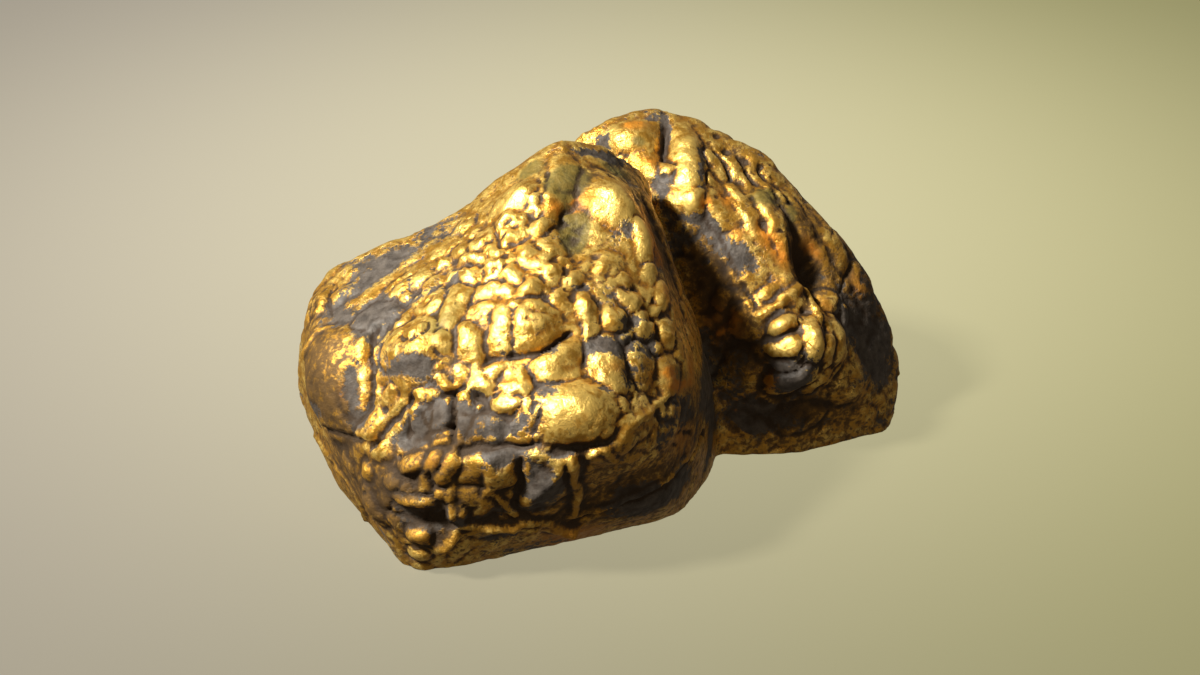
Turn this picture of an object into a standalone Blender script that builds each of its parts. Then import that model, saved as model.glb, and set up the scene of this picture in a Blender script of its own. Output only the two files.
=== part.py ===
"""A hand-sized lump of gold ore: two grown-together lobes of cobbled rock, resting on one flat broken face.

The lump is one solid. Its two lobes start as hulls around landmark points, are joined, remeshed and softened,
and then take their relief: long swells, cobbles with creases between them, ridges, cracks and pits.

Frame: +X along the lump, +Y from its front face to its back, +Z up, the broken face on z = 0.
"""

import math
import random

import bmesh
import bpy
import numpy as np
from mathutils import Vector, noise
from mathutils.bvhtree import BVHTree

MM = 0.001
NAME = "gold_ore"

# ---- Mesh --------------------------------------------------------------------------------------------------
VOXEL = 1.1 * MM
SOFTENING_STEPS = 6
TRIANGLES = 9000
SHARP_ANGLE = math.radians(50.0)
SNAP_TO_BASE = 0.4 * MM
CUT_TOLERANCE = 0.0001 * MM

# ---- The two lobes: landmark points in millimetres ---------------------------------------------------------
# Points below z = 0 lie under the broken face and are cut away.
UNDER = -4.0

FRONT_LOBE = [
    # broken face, from the near corner round to the right and back
    (-36, -28.5, UNDER), (-24, -14, UNDER), (-5, -11, UNDER), (11, -6, UNDER), (18, 0, UNDER),
    (23, 12, UNDER), (25, 24, UNDER), (20, 45, UNDER), (-20, 50, UNDER), (-48, 36, UNDER),
    (-50, 12, UNDER), (-43, -12, UNDER),
    # left edge, from low to high
    (-53, -5, 6), (-58.5, 8, 11), (-62, 10, 20), (-61, 9, 31), (-58.5, 10, 41), (-54.5, 12, 45.5),
    # crest, from left to right
    (-43, 12, 49.8), (-31, 13, 55.8), (-23, 14, 60.8), (-8, 15, 73), (-1, 20, 70), (8, 28, 61),
    # right edge, from high to low
    (9, 14, 59), (13.6, 13, 49.5), (17.6, 11, 39.5), (20.8, 9, 31), (23.4, 9, 20), (24, 13, 9),
    # corner where the face turns into the right flank, from high to low
    (7.5, 8, 61.5), (11, 0, 54), (14, -9, 46.5), (17, -13, 38), (18.5, -15, 29), (18.5, -13, 20),
    # brow of the front face and the undercut below it
    (-38, -37, 24), (-27, -39, 30), (-12, -40, 32), (2, -38, 31), (11, -30, 29.5),
    (-44, -29, 12), (-33, -36, 11), (-12, -33, 14), (13, -20, 9),
    # swell of the face above the brow
    (-57, -6, 38), (-54, -15, 27), (-36, -24, 45), (-14, -22, 54), (3.5, -17, 52), (-5, 2, 64),
    # back, hidden behind the crest
    (-54, 36, 24), (-38, 42, 33), (-12, 50, 50),
]

BACK_LOBE = [
    # broken face
    (30, 19, UNDER), (42, 20, UNDER), (50, 26, UNDER), (61, 30, UNDER), (62, 45, UNDER), (48, 66, UNDER),
    (10, 70, UNDER), (-22, 66, UNDER), (-38, 50, UNDER), (0, 22, UNDER),
    # right edge, from low to high
    (63.5, 32, 4), (65, 37, 10), (63, 38, 19), (59.5, 39, 27), (55, 40, 35), (49, 41, 43), (40, 46, 52),
    # crest, from right to left
    (35, 48, 57), (24, 50, 62), (12, 52, 66), (4, 50, 65), (-3, 48, 62),
    # face that looks past the front lobe
    (22, 24, 38), (38, 16, 28), (47, 19, 24), (40, 29, 44), (30, 30, 46), (12, 36, 58),
    # back
    (55, 60, 24), (40, 66, 36), (14, 69, 40), (-16, 66, 34), (-34, 52, 28), (-20, 52, 46), (12, 62, 58),
]

# ---- The face chart ----------------------------------------------------------------------------------------
# Relief on the front is laid out in millimetres across (u) and up (v) on a plane that leans back, and is
# carried onto the form along lines from one station point in front of the plane.
CHART_LEAN = math.radians(25.0)
CHART_ORIGIN = Vector((0.0, 0.0, 36.0)) * MM
CHART_RIGHT = Vector((1.0, 0.0, 0.0))
CHART_NORMAL = Vector((0.0, -math.cos(CHART_LEAN), math.sin(CHART_LEAN)))
CHART_UP = Vector((0.0, math.sin(CHART_LEAN), math.cos(CHART_LEAN)))
STATION = CHART_ORIGIN + CHART_NORMAL * 567.0 * MM

# Swells: u, v, half length, half width, turn in degrees, height. They fade out softly and may be hollows.
SWELLS = [
    (-53, -8, 12, 9, 95, 2.4),      # oval bulge at the left
    (-3.5, -14.5, 11, 7, 5, 3.4),   # bulge over the brow
    (6, 21, 13, 5, 100, 2.2),       # rib down the right edge
    (-6, 22, 11, 4.5, 95, -1.6),    # trough beside it
    (-15, 27, 7, 5, 40, 1.4),       # shoulder under the crest
    (1.2, 26, 6.5, 5.5, 100, 2.2),  # boss right of the peak
    (-37, -3, 9, 8, 10, 1.1),       # dome
    (-40, -22, 8, 5, 30, -1.8),     # slope under the dome
    (-38.5, -28.5, 6, 2.6, -5, -1.3), (-35, -36.4, 6, 3, 10, -1.5),     # facets at the near corner
    (6, -29, 9, 5, 15, -1.0),       # smooth facet under the brow at the right
    (6, 40, 7, 5, 0, 1.4),          # knob on the back crest
    (12.8, 38, 2.6, 7, 0, -1.8),    # gully beside it
    (41.5, -2, 8.5, 8, 95, 4.4),    # knob cluster on the back lobe
    (42, 14.5, 9, 4.5, 108, -4.4),  # hollow over the cluster
    (18, 31, 10, 5, 84, 2.4),       # ridge beside the gully
    (32, 23, 9, 6, 115, 2.0),       # fold down its face
]

# The saddle that hollows out the crest between the left corner and the peak.
SADDLE = {
    "place": (-32, 24, 57), "normal": (-0.45, 0.1, 0.89), "along": (0.89, 0.05, 0.45),
    "length": 16, "width": 22, "height": -3.6,
}

# Cobbles: u, v, half length, half width, turn in degrees, height. Each is a dome with a crease round it.
COBBLES = [
    # left of the front face
    (-53, -9.5, 9.5, 8.5, 95, 1.9), (-55.5, 7, 3.4, 2.6, 100, 0.9), (-51, 8.5, 3.2, 2.2, 20, 0.8),
    (-45, 3.5, 5.5, 4.0, 60, 0.9), (-46, -19, 4.5, 3.0, 30, 0.8),
    # dome and the long cobbles beside it
    (-38.4, -2.6, 6.6, 6.2, 10, 1.3), (-29, 6, 5.2, 2.6, 82, 1.3), (-26.5, -1, 3.4, 2.1, 95, 1.1),
    (-31.6, -1.6, 3.0, 2.1, 100, 1.2), (-36, 0.2, 3.0, 2.4, 30, 1.7),
    (-20, 0.7, 4.8, 2.3, 88, 1.1), (-13, 1.5, 5.6, 4.3, 80, 1.5), (-38, 11, 6.0, 3.0, 25, 1.0),
    # small cobbles above the dome
    (-28.5, 17, 2.4, 1.9, 20, 0.7), (-25.5, 12, 2.6, 2.0, 70, 0.8), (-20.5, 14.5, 2.3, 1.8, 20, 0.7),
    (-21, 8.8, 2.6, 1.9, 60, 0.8), (-17, 12.5, 2.2, 1.8, 90, 0.7), (-14.5, 10.3, 2.3, 1.7, 40, 0.7),
    (-13, 16.5, 2.7, 2.0, 70, 0.8), (-9.5, 18.5, 2.6, 2.0, 20, 0.8), (-10, 12.8, 2.5, 2.0, 80, 0.8),
    (-5.5, 11.5, 2.6, 2.0, 40, 0.8), (-23, 20.5, 3.6, 2.0, 40, 0.7),
    # under the crest
    (-17, 27.5, 4.6, 3.2, 55, 1.2), (-8.5, 30, 7.5, 3.6, 82, 1.0), (2, 27, 6.6, 5.2, 100, 1.3),
    (7.2, 19, 4.8, 2.3, 82, 1.1), (1.5, 14.5, 3.4, 2.4, 10, 0.8),
    # right of the middle
    (-2.4, 4.0, 4.4, 1.8, 95, 1.0), (2.4, 3.6, 2.6, 2.4, 0, 1.0), (5.8, 8, 2.6, 2.1, 30, 0.9),
    (8.6, 2.5, 3.2, 2.4, 95, 1.1), (13, 1, 3.1, 2.1, 80, 0.9), (12, 8, 3.0, 2.0, 60, 0.8),
    (-7.8, -5.6, 4.4, 3.8, 30, 1.6), (0.8, -5.4, 5.0, 3.8, 105, 1.7), (8, -6, 4.4, 3.0, 60, 1.0),
    # over the brow
    (-5.6, -15, 7.2, 5.6, 12, 1.8), (-17, -9.6, 3.3, 2.8, 20, 1.0), (-19, -14, 3.2, 2.4, 10, 1.0),
    (-22.6, -18, 3.2, 2.6, 0, 0.9), (-14.5, -16, 3.4, 3.0, 60, 1.1), (-37, -15.5, 3.2, 2.8, 80, 0.9),
    (-31.5, -15.5, 2.6, 4.2, 0, 0.9), (-27, -14, 2.4, 3.6, 0, 0.9), (-24, -9, 2.8, 2.2, 40, 0.8),
    (6, -17.5, 5.5, 3.2, 35, 1.0), (14, -8, 4.2, 3.0, 70, 0.8), (14, -17, 5.0, 3.4, 60, 0.8),
    # under the brow
    (-22.4, -26.4, 5.4, 3.6, -8, 1.5), (-11.2, -28, 6.6, 5.4, 90, 1.8), (-24.8, -32.6, 4.4, 2.8, 105, 0.8),
    (-44.3, -22.8, 3.0, 1.7, 10, 1.0), (-38.5, -24.6, 3.4, 1.8, 10, 1.2), (-33.5, -25, 2.6, 1.8, 40, 1.1),
    (-30.4, -26, 3.4, 1.7, 62, 1.3), (-37.6, -32.3, 4.2, 1.3, 0, 1.0), (-46.5, -26.8, 1.9, 1.7, 0, 0.9),
    (-46.5, -30.6, 1.9, 1.7, 0, 0.9), (-45.6, -33.8, 4.4, 2.2, 122, 1.2), (-36.4, -39.5, 2.6, 2.4, 0, 1.3),
    (-28.2, -34.6, 2.6, 2.0, 60, 1.1), (-36.4, -43.4, 2.0, 1.6, 0, 0.9),
    # crest and face of the back lobe
    (6.6, 40, 5.6, 4.0, 10, 0.9), (17, 36, 7.6, 3.2, 84, 1.5), (19, 26.5, 3.0, 2.4, 120, 0.9),
    (23, 34, 4.6, 1.6, -58, 0.7), (27.6, 33, 4.8, 1.6, -58, 0.6), (32, 31, 4.4, 1.6, -55, 0.6),
    (24, 25, 4.4, 2.6, -50, 0.9), (34, 24, 6.4, 2.6, -60, 0.9), (28.6, 15, 6.0, 3.4, -60, 0.9),
    (39.4, 24, 6.0, 2.2, -62, 0.9), (47, 18, 5.0, 2.4, -60, 0.8), (53, 9, 5.4, 2.8, -65, 0.8),
    (40.9, -0.2, 2.0, 3.4, 8, 1.7), (36.6, 2.4, 2.8, 1.4, 16, 1.4), (36.4, -1.8, 3.2, 1.5, 10, 1.3),
    (37.4, -7, 4.4, 3.6, 60, 1.7), (46.8, 0, 2.2, 4.4, 4, 1.4), (46, 7.2, 2.4, 2.6, 0, 1.1),
    (44.2, -2, 1.2, 1.7, 0, 0.9), (50, -9, 4.6, 4.0, 20, 1.0),
    (28, -8, 4.5, 4.0, 50, 0.9), (30, 3, 4.0, 3.4, 20, 0.8), (40, -16, 5.0, 3.0, 10, 0.8),
]

# Ridges and cracks: half width, height (a crack is negative), then their course on the chart.
LINES = [
    (0.9, -1.5, [(-28, -22.5), (-22, -22.2), (-16, -22), (-13, -21), (-7, -22.4), (1, -20.5), (3, -18.5)]),
    (0.8, -1.3, [(-46, -22), (-43, -18.5), (-38.4, -12.5)]),
    (0.7, -1.0, [(-23, -4.6), (-16, -4.2), (-12, -3), (-6.4, 0.6)]),
    (1.0, -1.5, [(-45.6, 0), (-45.2, -6), (-45.8, -14)]),
    (0.7, -1.1, [(-16.6, -25), (-16.6, -32.5)]),
    (0.6, -0.8, [(-56, -17.6), (-45, -21.5)]),
    (0.6, -0.8, [(-11, 35), (-11, 28.5)]),
    (0.7, 0.9, [(-58, -5.5), (-55.6, -0.2), (-53, 1.2)]),
    (0.6, 0.9, [(-2.6, 7.5), (-3.4, -0.5)]),
    (0.7, 0.9, [(4, -19.5), (10, -14.5), (13, -11.5)]),
    (0.6, 0.9, [(-3, -23.5), (0, -22), (2.5, -24.5)]),
    (0.9, 1.3, [(-6, -23.5), (-4.6, -34.5)]),
    (2.0, 1.2, [(-8, -24.8), (-14.4, -31.2)]), (1.6, 0.8, [(-22.4, -24.4), (-21.2, -29.4)]),
    (0.8, 1.0, [(-29, -28.5), (-30, -35.5)]), (0.7, 0.9, [(-22.4, -30), (-17.4, -34.3)]),
    (0.7, 0.8, [(-6, -35.4), (1, -33.8), (8, -31), (13, -28.6), (17, -24)]),
    (0.8, -1.1, [(-5, -36.5), (8, -32.5), (13.6, -30), (18, -24.5), (21, -18.5)]),
    (1.1, 1.4, [(-33, -42.5), (-28, -37), (-18, -37), (-6, -38)]),
    (0.7, 0.8, [(-60, -11), (-57, -18), (-51, -27.5), (-46, -37)]),
    (0.8, -0.8, [(13.2, 45), (13.2, 36.5)]),
    (0.6, -0.7, [(21.6, 38.6), (25.6, 31.4)]), (0.6, -0.6, [(26.4, 37), (30.4, 30)]),
    (0.6, -0.6, [(31.6, 34), (35.2, 27.6)]), (0.7, -0.8, [(30, 27.6), (34.6, 18)]),
    (1.0, 1.3, [(32, 4), (36, 6.2), (39.8, 10)]), (0.7, 1.2, [(41.6, 10), (42.8, 3)]),
    (0.6, -1.2, [(43.8, 9.5), (43.8, 0.5)]), (0.6, -0.9, [(32.6, 0.2), (39.4, 0.8)]),
]
PITS = [(-24.4, -12, 1.5, -1.4), (32, 22, 1.6, -1.2), (40.2, 5, 1.4, -1.3), (-1, 15.9, 1.3, -0.7)]

# Swells and cobbles strewn over the sides and the back: spacing, half widths and heights in millimetres,
# and how many times longer than wide they are.
LOBE_CENTRES = [(-22, 10, 26), (24, 46, 26)]
STREWN_SWELLS = {
    "tries": 300, "spacing": 17.0, "widths": (6.0, 9.0), "stretch": (1.0, 1.8), "heights": (-2.6, 2.4),
}
STREWN_COBBLES = {
    "tries": 900, "spacing": 6.4, "widths": (2.8, 4.8), "stretch": (1.0, 1.7), "heights": (0.5, 1.4),
}
LOWEST_STREWN = 1.5 * MM
SEED = 5

# How strewn relief fades towards the rim that the station point sees, where the form already has its outline.
RIM_FADE = 0.5
RIM_SHARE = 0.25

# Profiles, in millimetres unless a share of a cobble's size is meant.
DOME_FALL = 1.1                 # how soon a dome falls off; its rim has a third of its height
CREASE = (0.75, 0.16)           # share of the lower dome that a crease takes, its width in height difference
MOAT = (0.28, 1.25, 0.17)       # a moat's depth as a share of its dome, its place and width, 1 on the rim
MOAT_END = 0.45                 # a dome of this height fills its neighbour's moat
CRUMPLE = [(110.0, 1.3), (330.0, 0.45)]     # waves per metre and reach of the noise that crumples the relief


def hull(name, landmarks):
    """The convex hull of a list of landmark points."""
    mesh = bpy.data.meshes.new(name)
    shape = bmesh.new()
    for point in landmarks:
        shape.verts.new(Vector(point) * MM)
    bmesh.ops.convex_hull(shape, input=shape.verts)
    inner = [v for v in shape.verts if not v.link_faces]
    bmesh.ops.delete(shape, geom=inner, context="VERTS")
    shape.to_mesh(mesh)
    shape.free()
    return bpy.data.objects.new(name, mesh)


def baked(thing):
    """A new mesh from an object as its modifiers leave it."""
    bpy.context.view_layer.update()
    graph = bpy.context.evaluated_depsgraph_get()
    return bpy.data.meshes.new_from_object(thing.evaluated_get(graph))


def soft_form(collection):
    """The two lobes joined into one closed, softened form with no relief yet."""
    front = hull("front_lobe", FRONT_LOBE)
    back = hull("back_lobe", BACK_LOBE)
    for lobe in (front, back):
        collection.objects.link(lobe)
    union = front.modifiers.new("join", "BOOLEAN")
    union.operation = "UNION"
    union.object = back
    remesh = front.modifiers.new("remesh", "REMESH")
    remesh.mode = "VOXEL"
    remesh.voxel_size = VOXEL
    soften = front.modifiers.new("soften", "SMOOTH")
    soften.factor = 0.5
    soften.iterations = SOFTENING_STEPS
    mesh = baked(front)
    for lobe in (front, back):
        bpy.data.objects.remove(lobe)
    return mesh


def on_form(tree, u, v):
    """Where a chart point lands on the form, and the form's outward normal there; None if it misses."""
    target = CHART_ORIGIN + (CHART_RIGHT * u + CHART_UP * v) * MM
    place, normal, _, _ = tree.ray_cast(STATION, (target - STATION).normalized())
    return (place, normal) if place else None


def oval_on_form(tree, u, v, length, width, turn, height):
    """An oval patch of the form as a row: centre, the two scaled axes, the scaled normal, height."""
    hit = on_form(tree, u, v)
    if not hit:
        raise ValueError(f"no form under chart point {u}, {v}")
    place, normal = hit
    angle = math.radians(turn)
    along = CHART_RIGHT * math.cos(angle) + CHART_UP * math.sin(angle)
    return oval(place, normal, along, length * MM, width * MM, height * MM)


def oval(place, normal, along, length, width, height):
    """An oval patch with its long axis laid into the surface as near to `along` as the normal allows."""
    first = (along - normal * along.dot(normal)).normalized()
    second = normal.cross(first)
    depth = 1.3 * max(length, width)
    return [*place, *(first / length), *(second / width), *(normal / depth), height]


def saddle():
    """The saddle as an oval patch."""
    sizes = [SADDLE[key] * MM for key in ("length", "width", "height")]
    normal = Vector(SADDLE["normal"]).normalized()
    return oval(Vector(SADDLE["place"]) * MM, normal, Vector(SADDLE["along"]), *sizes)


def oval_distances(points, ovals):
    """How far each point is from each oval's centre, 1 on the oval's rim."""
    ovals = np.asarray(ovals)
    offset = points[:, None, :] - ovals[None, :, 0:3]
    squares = sum(np.einsum("ijk,jk->ij", offset, ovals[:, k:k + 3]) ** 2 for k in (3, 6, 9))
    return np.sqrt(squares)


def swell_heights(points, swells):
    distance = oval_distances(points, swells)
    return (np.exp(-1.4 * distance ** 2) * np.asarray(swells)[:, 12]).sum(axis=1)


def cobble_heights(points, cobbles):
    """The highest dome over each point, a crease where two domes meet and a moat round each."""
    distance = oval_distances(points, cobbles)
    heights = np.asarray(cobbles)[:, 12]
    domes = np.sort(heights * np.exp(-DOME_FALL * distance ** 3), axis=1)
    top, second = domes[:, -1], domes[:, -2]
    crease_share, crease_width = CREASE
    crease = second * np.exp(-((top - second) / (crease_width * MM)) ** 2)
    moat_share, moat_ring, moat_width = MOAT
    moat = (heights * np.exp(-((distance - moat_ring) / moat_width) ** 2)).max(axis=1)
    moat *= np.clip(1.0 - top / (MOAT_END * MM), 0.0, 1.0)
    return top - crease_share * crease - moat_share * moat


def line_heights(points, half_width, height, course):
    """A ridge or crack with a round profile along a course of points on the form."""
    course = np.asarray(course)
    best = np.full(len(points), np.inf)
    for a, b in zip(course[:-1], course[1:], strict=True):
        span = b - a
        t = np.clip(((points - a) @ span) / (span @ span), 0.0, 1.0)
        best = np.minimum(best, np.linalg.norm(points - a - t[:, None] * span, axis=1))
    return height * np.exp(-(best / half_width) ** 2)


def course_on_form(tree, course):
    """A chart line carried onto the form in steps of about 1.5 mm."""
    places = []
    for (u0, v0), (u1, v1) in zip(course[:-1], course[1:], strict=True):
        steps = max(1, round(math.hypot(u1 - u0, v1 - v0) / 1.5))
        for k in range(steps + 1):
            hit = on_form(tree, u0 + (u1 - u0) * k / steps, v0 + (v1 - v0) * k / steps)
            if hit and (not places or (hit[0] - places[-1]).length > 0.2 * MM):
                places.append(hit[0])
    return places


def crumpled(points):
    """The points pushed about by smooth noise, so that what is laid over them comes out irregular."""
    moved = points.copy()
    for waves, reach in CRUMPLE:
        moved += reach * MM * np.array([noise.noise_vector(Vector(point) * waves)[:] for point in points])
    return moved


def faces_station(tree, place, normal):
    """True where the form looks at the station point with nothing in between."""
    towards = (STATION - place).normalized()
    if normal.dot(towards) < 0.12:
        return False
    return tree.ray_cast(place + normal * 0.5 * MM, towards)[0] is None


def strewn_ovals(tree, rng, tries, spacing, widths, stretch, heights):
    """Ovals strewn over the sides and the back, where the chart doesn't reach."""
    places = []
    ovals = []
    for centre in LOBE_CENTRES:
        for _ in range(tries):
            direction = Vector([rng.gauss(0, 1) for _ in range(3)]).normalized()
            along = Vector([rng.gauss(0, 1) for _ in range(3)])
            width = rng.uniform(*widths) * MM
            length = width * rng.uniform(*stretch)
            height = rng.uniform(*heights) * MM
            place, normal, _, _ = tree.ray_cast(Vector(centre) * MM, direction)
            if not place or place.z < LOWEST_STREWN or faces_station(tree, place, normal):
                continue
            if all((place - other).length > spacing * MM for other in places):
                away = -normal.dot((STATION - place).normalized())
                height *= min(1.0, max(RIM_SHARE, away / RIM_FADE))
                places.append(place)
                ovals.append(oval(place, normal, along, length, width, height))
    return ovals


def add_relief(mesh):
    """Moves each point of the form along its normal by the relief over it."""
    tree_source = bmesh.new()
    tree_source.from_mesh(mesh)
    tree = BVHTree.FromBMesh(tree_source)
    tree_source.free()
    count = len(mesh.vertices)
    points = np.empty(count * 3)
    mesh.vertices.foreach_get("co", points)
    points = points.reshape(-1, 3)
    normals = np.array([v.normal[:] for v in mesh.vertices])
    rng = random.Random(SEED)
    noise.seed_set(SEED)
    swells = [oval_on_form(tree, *row) for row in SWELLS] + [saddle()]
    swells += strewn_ovals(tree, rng, **STREWN_SWELLS)
    cobbles = [oval_on_form(tree, *row) for row in COBBLES]
    cobbles += strewn_ovals(tree, rng, **STREWN_COBBLES)
    pits = [oval_on_form(tree, u, v, size, size, 0, depth) for u, v, size, depth in PITS]
    crumpled_points = crumpled(points)
    height = np.zeros(count)
    block = 4000
    for start in range(0, count, block):
        part = slice(start, start + block)
        height[part] = (
            swell_heights(points[part], swells) + cobble_heights(crumpled_points[part], cobbles)
            + swell_heights(points[part], pits)
        )
    for half_width, rise, course in LINES:
        height += line_heights(crumpled_points, half_width * MM, rise * MM, course_on_form(tree, course))
    mesh.vertices.foreach_set("co", (points + normals * height[:, None]).ravel())
    mesh.update()


def cut_base(mesh):
    """Cuts the lump off flat on z = 0 and closes the cut."""
    shape = bmesh.new()
    shape.from_mesh(mesh)
    for vertex in shape.verts:
        if abs(vertex.co.z) < SNAP_TO_BASE:
            vertex.co.z = 0.0
    everything = shape.verts[:] + shape.edges[:] + shape.faces[:]
    bmesh.ops.bisect_plane(
        shape, geom=everything, dist=CUT_TOLERANCE, plane_co=(0, 0, 0), plane_no=(0, 0, 1), clear_inner=True
    )
    rim = [edge for edge in shape.edges if edge.is_boundary]
    bmesh.ops.holes_fill(shape, edges=rim, sides=0)
    bmesh.ops.triangulate(shape, faces=[face for face in shape.faces if len(face.verts) > 3])
    bmesh.ops.recalc_face_normals(shape, faces=shape.faces)
    shape.to_mesh(mesh)
    shape.free()


def thinned(thing, triangles):
    """A mesh of the object with about the given number of triangles."""
    tri_count = 2 * len(thing.data.polygons)
    collapse = thing.modifiers.new("thin", "DECIMATE")
    collapse.ratio = triangles / tri_count
    collapse.use_collapse_triangulate = True
    mesh = baked(thing)
    thing.modifiers.clear()
    return mesh


def ore_material():
    """Dull gold over dark rock."""
    material = bpy.data.materials.new("gold_on_rock")
    material.use_nodes = True
    shader = material.node_tree.nodes["Principled BSDF"]
    shader.inputs["Base Color"].default_value = (0.46, 0.30, 0.09, 1.0)
    shader.inputs["Metallic"].default_value = 0.8
    shader.inputs["Roughness"].default_value = 0.42
    return material


def main():
    for thing in list(bpy.data.objects):
        bpy.data.objects.remove(thing, do_unlink=True)
    collection = bpy.data.collections.new(NAME)
    bpy.context.scene.collection.children.link(collection)
    form = soft_form(collection)
    add_relief(form)
    ore = bpy.data.objects.new(NAME, form)
    collection.objects.link(ore)
    ore.data = thinned(ore, TRIANGLES)
    cut_base(ore.data)
    ore.data.name = NAME
    ore.data.materials.append(ore_material())
    ore.data.shade_smooth()
    ore.data.set_sharp_from_angle(angle=SHARP_ANGLE)


main()
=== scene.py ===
"""The finished look of a two-lobed lump of gold ore: dark rock plated and veined with native gold.

The lump is modelled in the same way as its CAD solid, from the same landmarks, and carried on to finer
cobbles, wrinkles and cracks. Values per vertex say where gold, iron stain and olive tarnishing lie, how deep
each hollow is and where shade is painted; the one procedural material turns them into plated metal, bare
rock, stains and painted shade in the hollows and shadowed places.
"""

import math
import random

import bmesh
import bpy
import numpy as np
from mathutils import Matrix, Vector, noise
from mathutils.bvhtree import BVHTree

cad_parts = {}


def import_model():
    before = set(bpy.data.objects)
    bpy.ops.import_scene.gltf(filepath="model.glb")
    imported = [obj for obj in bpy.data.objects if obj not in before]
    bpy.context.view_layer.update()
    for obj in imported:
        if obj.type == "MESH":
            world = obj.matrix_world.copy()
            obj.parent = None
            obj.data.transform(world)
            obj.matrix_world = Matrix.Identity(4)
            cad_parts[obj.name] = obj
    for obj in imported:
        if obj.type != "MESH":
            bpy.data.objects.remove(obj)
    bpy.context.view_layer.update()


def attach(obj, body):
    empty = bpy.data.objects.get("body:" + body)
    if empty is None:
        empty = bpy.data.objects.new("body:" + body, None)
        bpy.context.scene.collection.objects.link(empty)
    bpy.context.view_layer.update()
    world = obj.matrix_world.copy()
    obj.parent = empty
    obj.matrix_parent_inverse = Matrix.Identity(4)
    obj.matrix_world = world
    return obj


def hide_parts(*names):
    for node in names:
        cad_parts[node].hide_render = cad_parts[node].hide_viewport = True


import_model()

MM = 0.001
NODE = "gold_ore"

# ---- Mesh -------------------------------------------------------------------------------------------------
VOXEL = 1.27 * MM
SOFTENING_STEPS = 5
FINE_STEPS = 1

# ---- The two lobes: landmark points in millimetres ---------------------------------------------------------
# Points below z = 0 lie under the broken face and are cut away.
UNDER = -4.0

FRONT_LOBE = [
    # broken face, from the near corner round to the right and back
    (-36, -28.5, UNDER), (-24, -14, UNDER), (-5, -11, UNDER), (11, -6, UNDER), (18, 0, UNDER),
    (23, 12, UNDER), (25, 24, UNDER), (20, 45, UNDER), (-20, 50, UNDER), (-48, 36, UNDER),
    (-50, 12, UNDER), (-43, -12, UNDER),
    # left edge, from low to high
    (-53, -5, 6), (-58.5, 8, 11), (-62, 10, 20), (-61, 9, 31), (-58.5, 10, 41), (-54.5, 12, 45.5),
    # crest, from left to right
    (-43, 12, 49.8), (-31, 13, 55.8), (-23, 14, 60.8), (-8, 15, 73), (-1, 20, 70), (8, 28, 61),
    # right edge, from high to low
    (9, 14, 59), (13.6, 13, 49.5), (17.6, 11, 39.5), (20.8, 9, 31), (23.4, 9, 20), (24, 13, 9),
    # corner where the face turns into the right flank, from high to low
    (7.5, 8, 61.5), (11, 0, 54), (14, -9, 46.5), (17, -13, 38), (18.5, -15, 29), (18.5, -13, 20),
    # brow of the front face and the undercut below it
    (-38, -37, 24), (-27, -39, 30), (-12, -40, 32), (2, -38, 31), (11, -30, 29.5),
    (-44, -29, 12), (-33, -36, 11), (-12, -33, 14), (13, -20, 9),
    # swell of the face above the brow
    (-57, -6, 38), (-54, -15, 27), (-36, -24, 45), (-14, -22, 54), (3.5, -17, 52), (-5, 2, 64),
    # back, hidden behind the crest
    (-54, 36, 24), (-38, 42, 33), (-12, 50, 50),
]

BACK_LOBE = [
    # broken face
    (30, 19, UNDER), (42, 20, UNDER), (50, 26, UNDER), (61, 30, UNDER), (62, 45, UNDER), (48, 66, UNDER),
    (10, 70, UNDER), (-22, 66, UNDER), (-38, 50, UNDER), (0, 22, UNDER),
    # right edge, from low to high
    (63.5, 32, 4), (65, 37, 10), (63, 38, 19), (59.5, 39, 27), (55, 40, 35), (49, 41, 43), (40, 46, 52),
    # crest, from right to left
    (35, 48, 57), (24, 50, 62), (12, 52, 66), (4, 50, 65), (-3, 48, 62),
    # face that looks past the front lobe
    (22, 24, 38), (38, 16, 28), (47, 19, 24), (40, 29, 44), (30, 30, 46), (12, 36, 58),
    # back
    (55, 60, 24), (40, 66, 36), (14, 69, 40), (-16, 66, 34), (-34, 52, 28), (-20, 52, 46), (12, 62, 58),
]

# ---- The face chart ----------------------------------------------------------------------------------------
# Relief on the front is laid out in millimetres across (u) and up (v) on a plane that leans back, and is
# carried onto the form along lines from one station point in front of the plane.
CHART_LEAN = math.radians(25.0)
CHART_ORIGIN = Vector((0.0, 0.0, 36.0)) * MM
CHART_RIGHT = Vector((1.0, 0.0, 0.0))
CHART_NORMAL = Vector((0.0, -math.cos(CHART_LEAN), math.sin(CHART_LEAN)))
CHART_UP = Vector((0.0, math.sin(CHART_LEAN), math.cos(CHART_LEAN)))
STATION = CHART_ORIGIN + CHART_NORMAL * 567.0 * MM

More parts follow.
